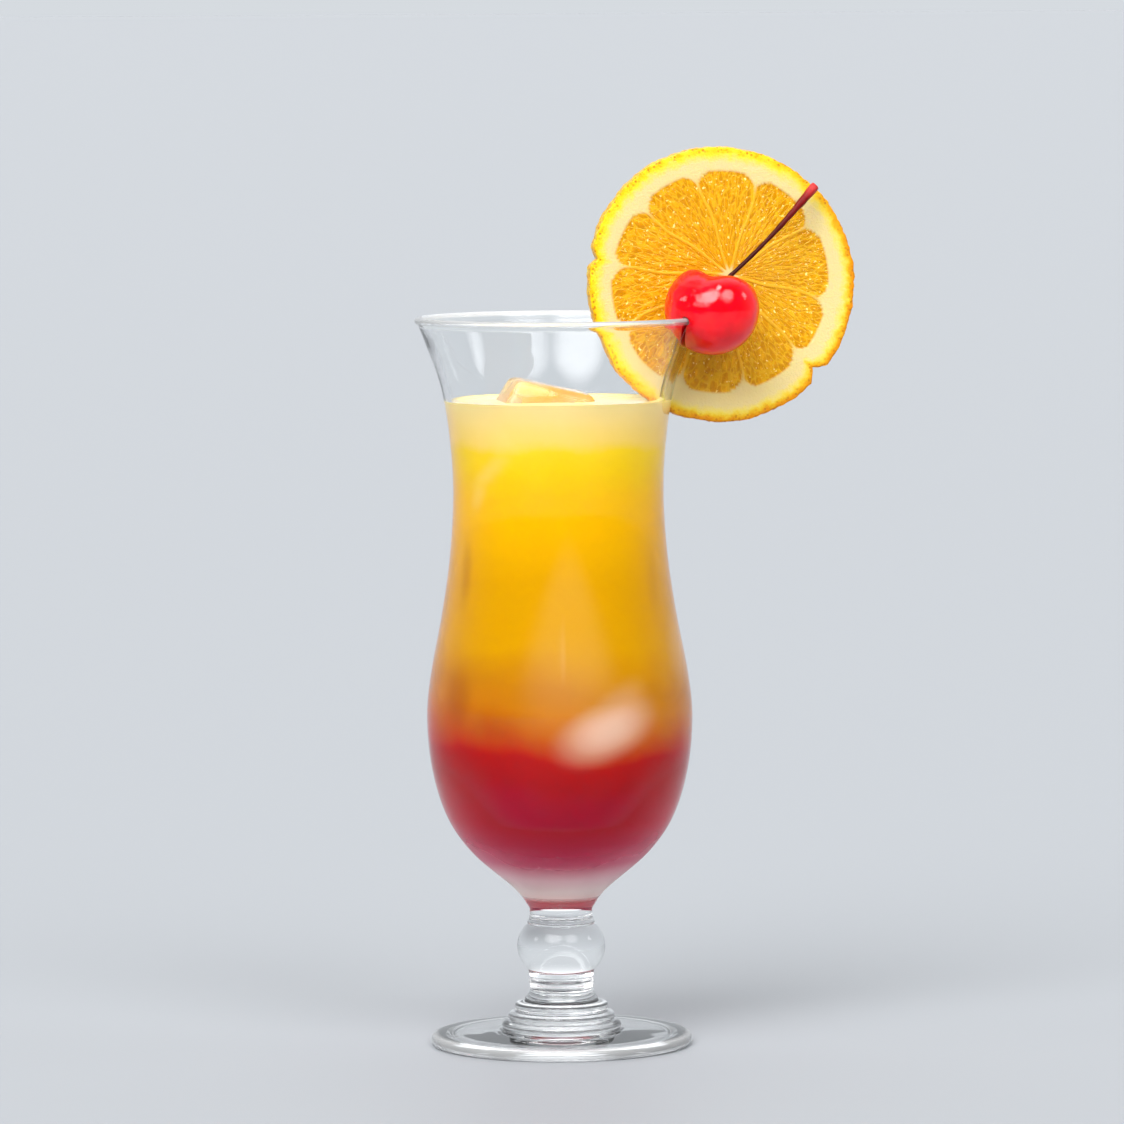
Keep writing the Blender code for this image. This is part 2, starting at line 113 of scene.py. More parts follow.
def add_node(
    tree: Tree,
    kind: Node,
    settings: dict[str, Any] | None = None,
    links: dict[str | int, Any] | None = None,
    stops: Sequence[tuple[float, Colour]] = (),
) -> bpy.types.Node:
    """Adds one node with its settings, its inputs and, on a ramp, its colour stops.

    Args:
        tree: the node tree that the node goes into.
        kind: the kind of node.
        settings: attributes of the node, by name.
        links: for each input, by name or number, a value or the output socket that feeds it.
        stops: the place and colour of each stop of a ramp, from low to high.

    Returns:
        The new node.
    """
    node = tree.nodes.new(kind.value)
    for name, value in (settings or {}).items():
        setattr(node, name, value)
    for name, value in (links or {}).items():
        if isinstance(value, Socket):
            tree.links.new(value, node.inputs[name])
        else:
            node.inputs[name].default_value = value
    if stops:
        elements = node.color_ramp.elements
        while len(elements) < len(stops):
            elements.new(1.0)
        for element, (place, colour) in zip(elements, stops):
            element.position = place
            element.color = colour
    return node


def new_material(name: str) -> tuple[Finish, Tree]:
    """Makes an empty node material.

    Args:
        name: the material's name.

    Returns:
        The material and its node tree.
    """
    material = bpy.data.materials.new(name)
    material.use_nodes = True
    material.node_tree.nodes.clear()
    return material, material.node_tree


def colour_stops(stops: Stops) -> list[tuple[float, Colour]]:
    """Turns a ramp's stops from sRGB hex colours to linear ones."""
    return [(place, srgb(code)) for place, code in stops]


def between(span: Point) -> dict[str, float]:
    """Gives the inputs that make a range node rise from a span's start to its end."""
    return {"From Min": span[0], "From Max": span[1]}


def millimetres(tree: Tree) -> Socket:
    """Adds nodes that give the place on the object in millimetres.

    Args:
        tree: the material's node tree.

    Returns:
        The socket that carries the place.
    """
    place = add_node(tree, Node.COORDINATES)
    scaled = add_node(tree, Node.MAPPING, links={
        "Vector": place.outputs["Object"], "Scale": (1 / MM, 1 / MM, 1 / MM)
    })
    return scaled.outputs["Vector"]


def flat_length(tree: Tree, across: Socket, along: Socket) -> Socket:
    """Adds nodes that give the length of a flat vector.

    Args:
        tree: the material's node tree.
        across: the vector's first part.
        along: its second part.

    Returns:
        The socket that carries the length.
    """
    flat = add_node(tree, Node.COMBINE, links={"X": across, "Y": along})
    length = add_node(tree, Node.VECTOR_MATH, {"operation": "LENGTH"}, {0: flat.outputs["Vector"]})
    return length.outputs["Value"]


def rippled(
    tree: Tree,
    place: Socket,
    size: float,
    detail: float,
    strength: float,
    depth: float,
) -> Socket:
    """Adds the small ups and downs of a surface.

    Args:
        tree: the material's node tree.
        place: the place in millimetres.
        size: how far apart the ups and downs are, in millimetres.
        detail: how many finer ones lie on each.
        strength: how much of them shows, from 0 to 1.
        depth: their height, in millimetres.

    Returns:
        The socket that carries the bent normal.
    """
    waves = add_node(tree, Node.NOISE, links={"Vector": place, "Scale": 1 / size, "Detail": detail})
    bump = add_node(tree, Node.BUMP, links={
        "Height": waves.outputs["Fac"], "Strength": strength, "Distance": depth * MM
    })
    return bump.outputs["Normal"]


def bell(distance: Any, width: float) -> Any:
    """Gives 1 at no distance, falling away smoothly within a width."""
    return np.exp(-((distance / width) ** 2))


def ramp_between(value: Any, low: float, high: float) -> Any:
    """Gives a smooth rise from 0 at low to 1 at high, for numbers or arrays."""
    share = np.clip((value - low) / (high - low), 0.0, 1.0)
    return share * share * (3.0 - 2.0 * share)


def arc(centre: Point, radii: Point, start: float, end: float, steps: int) -> list[Point]:
    """Gives points on an ellipse, from start to end degrees, counted from across towards up.

    Args:
        centre: the ellipse's centre.
        radii: its radius across and its radius up.
        start: the first angle, in degrees.
        end: the last angle, in degrees.
        steps: the number of steps between them.

    Returns:
        The points in order.
    """
    angles = [math.radians(start + (end - start) * k / steps) for k in range(steps + 1)]
    return [
        (centre[0] + radii[0] * math.cos(a), centre[1] + radii[1] * math.sin(a))
        for a in angles
    ]


def smooth_through(points: Sequence[Point], steps: int) -> list[Point]:
    """Gives a Catmull-Rom curve through the points.

    Args:
        points: the points that it passes through.
        steps: the number of steps between each two.

    Returns:
        The curve's points, with the last given point at its end.
    """
    stations = [Vector(p) for p in points]
    ends = [2 * stations[0] - stations[1], *stations, 2 * stations[-1] - stations[-2]]
    curve = []
    for p0, p1, p2, p3 in zip(ends, ends[1:], ends[2:], ends[3:]):
        for k in range(steps):
            t = k / steps
            place = 0.5 * (
                2 * p1
                + (p2 - p0) * t
                + (2 * p0 - 5 * p1 + 4 * p2 - p3) * t * t
                + (3 * p1 - p0 - 3 * p2 + p3) * t**3
            )
            curve.append((place.x, place.y))
    curve.append(tuple(points[-1]))
    return curve


def moved_sideways(outline: Sequence[Point], distance: float) -> list[Point]:
    """Moves an outline to its left, seen along its own direction.

    Args:
        outline: points given as across and up.
        distance: how far to move it, in metres.

    Returns:
        The moved outline.
    """
    moved = []
    for k, (x, z) in enumerate(outline):
        before = outline[max(k - 1, 0)]
        after = outline[min(k + 1, len(outline) - 1)]
        along = Vector((after[0] - before[0], after[1] - before[1])).normalized()
        moved.append((x - along.y * distance, z + along.x * distance))
    return moved


def linked_object(name: str, mesh: bpy.types.Mesh) -> Piece:
    """Puts a mesh into the scene.

    Args:
        name: the object's name.
        mesh: its mesh.

    Returns:
        The new object.
    """
    obj = bpy.data.objects.new(name, mesh)
    bpy.context.scene.collection.objects.link(obj)
    return obj


def object_from(name: str, work: bmesh.types.BMesh) -> Piece:
    """Turns a working mesh into an object in the scene, and frees the working mesh.

    Args:
        name: the name of the object and its mesh.
        work: the working mesh.

    Returns:
        The new object.
    """
    mesh = bpy.data.meshes.new(name)
    work.to_mesh(mesh)
    work.free()
    return linked_object(name, mesh)


def ring_mesh(name: str, rings: Sequence[np.ndarray]) -> Piece:
    """Skins a closed stack of rings. A ring of one point is a pole.

    Args:
        name: the object's name.
        rings: one array of points for each ring, each with the same count or with one point.

    Returns:
        The new object, in the scene, shaded smooth.
    """
    starts = np.cumsum([0] + [len(ring) for ring in rings])
    vertices = np.concatenate(rings)
    faces = []
    for k in range(len(rings) - 1):
        here = np.arange(starts[k], starts[k + 1])
        there = np.arange(starts[k + 1], starts[k + 2])
        count = max(len(here), len(there))
        here_next = np.roll(here, -1) if len(here) > 1 else np.repeat(here, count)
        there_next = np.roll(there, -1) if len(there) > 1 else np.repeat(there, count)
        here = here if len(here) > 1 else np.repeat(here, count)
        there = there if len(there) > 1 else np.repeat(there, count)
        for a, b, c, d in zip(here, here_next, there_next, there):
            faces.append([i for n, i in enumerate((a, b, c, d)) if i not in (a, b, c, d)[:n]])
    mesh = bpy.data.meshes.new(name)
    mesh.from_pydata(vertices.tolist(), [], faces)
    obj = linked_object(name, mesh)
    tidy_mesh(obj)
    return obj


def tidy_mesh(obj: Piece) -> None:
    """Points every face outwards and shades the mesh smooth.

    Args:
        obj: a closed mesh object.
    """
    work = bmesh.new()
    work.from_mesh(obj.data)
    bmesh.ops.recalc_face_normals(work, faces=work.faces)
    work.to_mesh(obj.data)
    work.free()
    obj.data.shade_smooth()


def turned(name: str, outline: Sequence[Point], segments: int) -> Piece:
    """Turns an outline round the upright axis.

    Args:
        name: the object's name.
        outline: points as radius and height, from one end on the axis to the other, or closed.
        segments: the number of steps round the axis.

    Returns:
        The turned object.
    """
    angles = np.arange(segments) * 2 * math.pi / segments
    rings = []
    for radius, height in outline:
        if radius < ON_AXIS:
            rings.append(np.array([[0.0, 0.0, height]]))
            continue
        ring = np.stack(
            [radius * np.cos(angles), radius * np.sin(angles), np.full(segments, height)], axis=1
        )
        rings.append(ring)
    return ring_mesh(name, rings)


def apply_modifiers(obj: Piece) -> None:
    """Replaces an object's mesh by its modified form.

    Args:
        obj: the object, which keeps its name and has no modifiers afterwards.
    """
    bpy.context.view_layer.update()
    evaluated = obj.evaluated_get(bpy.context.evaluated_depsgraph_get())
    mesh = bpy.data.meshes.new_from_object(evaluated)
    old = obj.data
    obj.modifiers.clear()
    obj.data = mesh
    bpy.data.meshes.remove(old)
    mesh.name = obj.name


def carve(obj: Piece, cutters: Sequence[Piece]) -> None:
    """Cuts closed shapes out of an object and removes the cutters.

    Args:
        obj: the object to cut.
        cutters: the shapes to cut away.
    """
    for cutter in cutters:
        cut = obj.modifiers.new(f"cut by {cutter.name}", "BOOLEAN")
        cut.operation = "DIFFERENCE"
        cut.object = cutter
        cut.solver = "MANIFOLD"
    apply_modifiers(obj)
    for cutter in cutters:
        bpy.data.objects.remove(cutter, do_unlink=True)
    work = bmesh.new()
    work.from_mesh(obj.data)
    bmesh.ops.remove_doubles(work, verts=work.verts, dist=WELD)
    bmesh.ops.dissolve_degenerate(work, edges=work.edges, dist=WELD / 2)
    work.to_mesh(obj.data)
    work.free()
    obj.data.shade_smooth()
    obj.data.set_sharp_from_angle(angle=SHARP)


def places(obj: Piece) -> np.ndarray:
    """Gives an object's vertices as an array of places in metres.

    Args:
        obj: the object.

    Returns:
        One row for each vertex.
    """
    flat = np.empty(len(obj.data.vertices) * 3)
    obj.data.vertices.foreach_get("co", flat)
    return flat.reshape(-1, 3)


def set_places(obj: Piece, where: np.ndarray) -> None:
    """Moves an object's vertices to the given places, in metres."""
    obj.data.vertices.foreach_set("co", where.ravel())
    obj.data.update()


def store(obj: Piece, name: str, values: np.ndarray) -> None:
    """Keeps one number for each vertex, for a finish to read.

    Args:
        obj: the object.
        name: the attribute's name.
        values: one number for each vertex.
    """
    made = obj.data.attributes.new(name, "FLOAT", "POINT")
    made.data.foreach_set("value", values.astype(np.float32))


def grain(where: np.ndarray, size: float) -> np.ndarray:
    """Gives smooth noise from -1 to 1 at each place.

    Args:
        where: places in metres.
        size: the size of the noise's grain, in metres.

    Returns:
        One value for each place.
    """
    return np.array([noise.noise(Vector(p) / size) for p in where])


def cell_number(column: Any, row: Any, face: int, weights: Sequence[float]) -> Any:
    """Gives a number from 0 to 1 for a cell, which looks random and is always the same.

    Args:
        column: the cell's column.
        row: its row.
        face: which face it lies on.
        weights: one weight for each of these, and one for the whole.

    Returns:
        The number.
    """
    seed = np.sin(column * weights[0] + row * weights[1] + face * weights[2]) * weights[3]
    return seed - np.floor(seed)


def dress(obj: Piece, finish: Finish, nodes: Sequence[str] = ()) -> Piece:
    """Gives a piece its finish and its body, and hides the CAD nodes that it stands for.

    Args:
        obj: the piece.
        finish: its material.
        nodes: the nodes that it replaces.

    Returns:
        The same piece.
    """
    obj.data.materials.clear()
    obj.data.materials.append(finish)
    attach(obj, BODY)
    if nodes:
        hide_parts(*nodes)
    log.info("%s: %d faces", obj.name, len(obj.data.polygons))
    return obj


@dataclass(frozen=True)
class PressedGlass:
    """Clear pressed soda-lime glass, fire-polished: sharp reflections and bent light.

    Where cold liquid stands behind it, a film of fine condensation softens what shows through.
    Heights and sizes are in millimetres, and covers are shares of 1.
    """

    # Condensation, from the drink's level down to the neck, in patches as real beading leaves.
    haze_top: float = 181.0
    haze_full: float = 176.0
    haze_end: float = 41.5
    haze_fade: Point = (-1.0, 1.5)
    haze_roughness: float = 0.07
    patch: float = 14.0
    patch_range: Point = (0.3, 0.7)
    thinnest_patch: float = 0.8
    # Pressing leaves long, shallow waves, and towards the bowl's edge, where it turns from the eye,
    # a thin veil is added in the painted glow colour.
    edge_cover: float = 0.04
    edge_power: float = 5.0
    wave: float = 17.0
    wave_depth: float = 0.5
    wave_strength: float = 0.3
    clear_tone: str = "#FCFDFD"
    index: float = 1.48
    # Frost on the cold solid bottom of the bowl: height, cover, and a colour that is painted glow,
    # the drink's pink and red light painted into the frost.
    frost_bottom: float = 40.0
    frost_top: float = 90.0
    frost_and_glow: tuple[tuple[float, float, str], ...] = (
        (40.0, 0.90, "#FFE2DA"),
        (44.5, 0.88, "#FFE4DE"),
        (48.0, 0.72, "#FCCCD0"),
        (53.0, 0.44, "#E4708C"),
        (59.0, 0.16, "#E03C68"),
        (65.0, 0.00, "#F04060"),
        (90.0, 0.00, "#F8A090"),
    )
    frost_roughness: float = 0.35
    # Low on the bowl, where it turns from the eye, more frost is added, in the painted glow colour.
    shoulder: Point = (84.0, 60.0)
    shoulder_cover: float = 0.42
    turned_away: Point = (0.15, 0.80)
    painted_glow_gain: float = 25.0
    # Painted light that pales the lip and the foot's edge.
    lip_bottom: float = 202.9
    lip_full: float = 203.7
    lip_painted_light: float = 0.32
    foot_top: float = 4.5
    foot_inner: float = 34.0
    foot_outer: float = 36.2
    foot_painted_light: float = 0.30
    # How much of plain glass's reflection is left, so that the floor doesn't wash out the red.
    facing_reflection: float = 0.45

    def build(self) -> Finish:
        """Makes the material.

        Returns:
            The material, ready for its piece.
        """
        material, tree = new_material("pressed_soda-lime_glass")
        place = millimetres(tree)
        height = add_node(tree, Node.SEPARATE, links={"Vector": place}).outputs["Z"]
        haze = self.haze(tree, place, height)
        facing = add_node(tree, Node.FACING, links={"Blend": 0.5}).outputs["Facing"]
        cover, painted_glow = self.frost_with_painted_glow(tree, height, facing)
        covered = add_node(tree, Node.MATH, TIMES, {0: haze, 1: cover})
        # Painted light: the lip and the foot's edge are paled.
        lip = add_node(tree, Node.RANGE, SMOOTH, {
            "Value": height,
            "From Min": self.lip_bottom,
            "From Max": self.lip_full,
            "To Max": self.lip_painted_light,
        })
        painted_pale_edges = add_node(tree, Node.MATH, PLUS, {
            0: lip.outputs["Result"], 1: self.foot_edge(tree, place, height)
        })
        veiled = add_node(tree, Node.MATH, {"operation": "ADD", "use_clamp": True}, {
            0: covered.outputs[0], 1: painted_pale_edges.outputs[0]
        })
        clear = add_node(tree, Node.MATH, {"operation": "SUBTRACT"}, {0: 1.0, 1: veiled.outputs[0]})
        rougher = add_node(tree, Node.MATH, {"operation": "MULTIPLY_ADD"}, {
            0: cover, 1: self.frost_roughness, 2: self.haze_roughness
        })
        roughness = add_node(tree, Node.MATH, TIMES, {0: haze, 1: rougher.outputs[0]})
        strength = add_node(tree, Node.MATH, {"operation": "MULTIPLY", "use_clamp": True}, {
            0: covered.outputs[0], 1: self.painted_glow_gain
        })
        # Where frost covers the glass, the frost's painted glow colour replaces the clear tone.
        colour = add_node(tree, Node.COLOUR_MIX, IN_COLOUR, {
            "Factor": strength.outputs[0], "A": srgb(self.clear_tone), "B": painted_glow
        })
        normal = rippled(tree, place, self.wave, 1.0, self.wave_strength, self.wave_depth)
        shader = add_node(tree, Node.PRINCIPLED, links={
            "Base Color": colour.outputs["Result"],
            "Roughness": roughness.outputs[0],
            "IOR": self.index,
            "Specular Tint": (self.facing_reflection,) * 3 + (1.0,),
            "Transmission Weight": clear.outputs[0],
            "Normal": normal,
        })
        add_node(tree, Node.OUTPUT, links={"Surface": shader.outputs["BSDF"]})
        return material

    def foot_edge(self, tree: Tree, place: Socket, height: Socket) -> Socket:
        """Adds the painted light that pales the foot's round edge, so that it shows less dark.

        Args:
            tree: the material's node tree.
            place: the place in millimetres.
            height: the height in millimetres.

        Returns:
            How much the painted light covers.
        """
        axes = add_node(tree, Node.SEPARATE, links={"Vector": place})
        outer = add_node(tree, Node.RANGE, SMOOTH, {
            "Value": flat_length(tree, axes.outputs["X"], axes.outputs["Y"]),
            "From Min": self.foot_inner,
            "From Max": self.foot_outer,
            "To Max": self.foot_painted_light,
        })
        low = add_node(tree, Node.MATH, {"operation": "LESS_THAN"}, {0: height, 1: self.foot_top})
        painted_pale_foot = add_node(tree, Node.MATH, TIMES, {0: outer.outputs["Result"], 1: low.outputs[0]})
        return painted_pale_foot.outputs[0]

    def haze(self, tree: Tree, place: Socket, height: Socket) -> Socket:
        """Adds the patchy film on the part that holds cold liquid.

        Args:
            tree: the material's node tree.
            place: the place in millimetres.
            height: the height in millimetres.

        Returns:
            The film's thickness, from 0 to 1.
        """
        below_level = add_node(tree, Node.RANGE, SMOOTH, {
            "Value": height, "From Min": self.haze_top, "From Max": self.haze_full
        })
        bare, filmed = (self.haze_end + shift for shift in self.haze_fade)
        above_neck = add_node(
            tree, Node.RANGE, SMOOTH, {"Value": height, "From Min": bare, "From Max": filmed}
        )
        filled = add_node(tree, Node.MATH, TIMES, {
            0: below_level.outputs["Result"], 1: above_neck.outputs["Result"]
        })
        patches = add_node(
            tree, Node.NOISE, links={"Vector": place, "Scale": 1 / self.patch, "Detail": 3.0}
        )
        patchy = add_node(tree, Node.RANGE, links={
            "Value": patches.outputs["Fac"],
            **between(self.patch_range),
            "To Min": self.thinnest_patch,
        })
        film = add_node(tree, Node.MATH, TIMES, {0: filled.outputs[0], 1: patchy.outputs["Result"]})
        return film.outputs[0]

    def frost_with_painted_glow(self, tree: Tree, height: Socket, facing: Socket) -> tuple[Socket, Socket]:
        """Adds the frost, thickest under the bowl, and its colour, a painted glow of the drink's
        red light.

        Args:
            tree: the material's node tree.
            height: the height in millimetres.
            facing: how far the surface turns away from the eye.

        Returns:
            How much the frost covers, and its colour, which is painted glow.
        """
        span = self.frost_top - self.frost_bottom
        share = add_node(tree, Node.RANGE, links={
            "Value": height, "From Min": self.frost_bottom, "From Max": self.frost_top
        }).outputs["Result"]
        cover = add_node(
            tree,
            Node.RAMP,
            links={"Fac": share},
            stops=[((z - self.frost_bottom) / span, (c, c, c, 1.0)) for z, c, _ in self.frost_and_glow],
        )
        # Painted glow: the red drink's light, painted in as the frost's colour.
        painted_glow = add_node(
            tree,
            Node.RAMP,
            links={"Fac": share},
            stops=[((z - self.frost_bottom) / span, srgb(code)) for z, _, code in self.frost_and_glow],
        )
        low = add_node(tree, Node.RANGE, SMOOTH, {
            "Value": height, **between(self.shoulder), "To Max": self.shoulder_cover
        })
        turned_away = add_node(
            tree, Node.RANGE, SMOOTH, {"Value": facing, **between(self.turned_away)}
        )
        shoulder = add_node(
            tree, Node.MATH, TIMES, {0: low.outputs["Result"], 1: turned_away.outputs["Result"]}
        )
        grazing = add_node(tree, Node.MATH, {"operation": "POWER"}, {0: facing, 1: self.edge_power})
        edge = add_node(tree, Node.MATH, {"operation": "MULTIPLY_ADD"}, {
            0: grazing.outputs[0], 1: self.edge_cover, 2: shoulder.outputs[0]
        })
        total = add_node(tree, Node.MATH, {"operation": "ADD", "use_clamp": True}, {
            0: cover.outputs["Color"], 1: edge.outputs[0]
        })
        return total.outputs[0], painted_glow.outputs["Color"]


class Contact(Enum):
    """What the drink's surface touches, as roughness, refractive index, gloss and scattering.

    Against glass there is no gloss of its own: 1.34 behind 1.5 reflects next to nothing.
    """

    GLASS = (0.9, 1.12, 0.0, 0.0)
    AIR = (0.07, 1.34, 0.5, 0.4)


@dataclass(frozen=True)
class LayeredDrink:
    """Cloudy orange juice over heavy pomegranate syrup: soft-edged layers that light passes into.

    The glow stands for the light that enters the drink elsewhere and comes out again all round.
    Heights and sizes are in millimetres.
    """

    contact: Contact = Contact.GLASS
    bottom: float = 55.0
    level: float = 181.0
    # The colour at each height, from the syrup at the bottom to the creamy top.
    layers: Stops = (
        (56.0, "#C6045A"),
        (63.0, "#C20044"),
        (70.0, "#BA0032"),
        (78.0, "#B60014"),
        (84.8, "#BE0402"),
        (86.0, "#C62604"),
        (89.0, "#C84C08"),
        (92.5, "#CC6A0A"),
        (97.6, "#D28412"),
        (103.0, "#CE8810"),
        (114.0, "#DEA400"),
        (131.0, "#E2A900"),
        (147.6, "#F6BF00"),
        (156.0, "#F9C700"),
        (163.0, "#FBD600"),
        (167.6, "#FDDC1C"),
        (170.6, "#FFE076"),
        (180.5, "#FFE69E"),
    )
    # Slow swirls between the layers, about as wide as the stream that was poured.
    drift: float = 16.0
    drift_height: float = 3.6
    # Pale sunk ice and painted highlights, their tones at shares of the drink's height, and the
    # shadow at the ice's edges.
    pale_mark_tones: Stops = ((0.34, "#F0CCB4"), (0.52, "#F2CA78"), (0.80, "#FFE28C"))
    ice_shadow: str = "#C89A60"
    scatter_reach: Triple = (1.0, 0.6, 0.2)
    scatter_depth: float = 2.5
    glow: float = 0.14

    def build(self) -> Finish:
        """Makes the material.

        Returns:
            The material, ready for its piece.
        """
        material, tree = new_material(f"cloudy_juice_over_syrup_{self.contact.name.lower()}")
        roughness, index, gloss, scattering = self.contact.value
        place = millimetres(tree)
        layer = add_node(tree, Node.ATTRIBUTE, {"attribute_name": "layer_height"})
        drift = add_node(
            tree, Node.NOISE, links={"Vector": place, "Scale": 1 / self.drift, "Detail": 4.0}
        )
        wander = add_node(tree, Node.RANGE, links={
            "Value": drift.outputs["Fac"],
            "To Min": -self.drift_height,
            "To Max": self.drift_height,
        })
        height = add_node(
            tree, Node.MATH, PLUS, {0: layer.outputs["Fac"], 1: wander.outputs["Result"]}
        )
        share = add_node(tree, Node.RANGE, links={
            "Value": height.outputs[0], "From Min": self.bottom, "From Max": self.level
        })
        span = self.level - self.bottom
        colour = add_node(
            tree,
            Node.RAMP,
            links={"Fac": share.outputs["Result"]},
            stops=[((h - self.bottom) / span, srgb(code)) for h, code in self.layers],
        )
        pale_marks = add_node(tree, Node.ATTRIBUTE, {"attribute_name": "sunk_ice"})
        pale_mark_tone = add_node(
            tree,
            Node.RAMP,
            links={"Fac": share.outputs["Result"]},
            stops=colour_stops(self.pale_mark_tones),
        )
        lighter = add_node(tree, Node.COLOUR_MIX, IN_COLOUR, {
            "Factor": pale_marks.outputs["Fac"],
            "A": colour.outputs["Color"],
            "B": pale_mark_tone.outputs["Color"],
        })
        edges = add_node(tree, Node.ATTRIBUTE, {"attribute_name": "ice_edge"})
        darker = add_node(tree, Node.COLOUR_MIX, {"data_type": "RGBA", "blend_type": "MULTIPLY"}, {
            "Factor": edges.outputs["Fac"],
            "A": lighter.outputs["Result"],
            "B": srgb(self.ice_shadow),
        })
        shader = add_node(tree, Node.PRINCIPLED, links={
            "Base Color": darker.outputs["Result"],
            "Emission Color": darker.outputs["Result"],
            "Emission Strength": self.glow,
            "Roughness": roughness,
            "IOR": index,
            "Specular IOR Level": gloss,
            "Subsurface Weight": scattering,
            "Subsurface Radius": self.scatter_reach,
            "Subsurface Scale": self.scatter_depth * MM,
        })
        add_node(tree, Node.OUTPUT, links={"Surface": shader.outputs["BSDF"]})
        return material


@dataclass(frozen=True)
class MeltingIce:
    """Clear ice, wet and half melted: low, watery reflections and a trace of cloud."""

    # Melting leaves dimples some 5 mm wide, and trapped air leaves cloud.
    ripple: float = 5.0
    ripple_depth: float = 0.6
    ripple_strength: float = 0.35
    cloud: float = 7.0
    cloud_range: Point = (0.35, 0.65)
    clearness: Point = (0.88, 0.66)
    stain: Stops = ((0.36, "#F4D890"), (0.5, "#F8E6B4"), (0.64, "#FFF8E8"))
    roughness: float = 0.04
    index: float = 1.31

    def build(self) -> Finish:
        """Makes the material.

        Returns:
            The material, ready for its piece.
        """
        material, tree = new_material("melting_clear_ice")
        place = millimetres(tree)
        normal = rippled(tree, place, self.ripple, 2.0, self.ripple_strength, self.ripple_depth)
        cloud = add_node(
            tree, Node.NOISE, links={"Vector": place, "Scale": 1 / self.cloud, "Detail": 5.0}
        )
        clear = add_node(tree, Node.RANGE, links={
            "Value": cloud.outputs["Fac"],
            **between(self.cloud_range),
            "To Min": self.clearness[0],
            "To Max": self.clearness[1],
        })
        stain = add_node(
            tree, Node.RAMP, links={"Fac": cloud.outputs["Fac"]}, stops=colour_stops(self.stain)
        )
        shader = add_node(tree, Node.PRINCIPLED, links={
            "Base Color": stain.outputs["Color"],
            "Roughness": self.roughness,
            "IOR": self.index,
            "Transmission Weight": clear.outputs["Result"],
            "Normal": normal,
        })
        add_node(tree, Node.OUTPUT, links={"Surface": shader.outputs["BSDF"]})
        return material


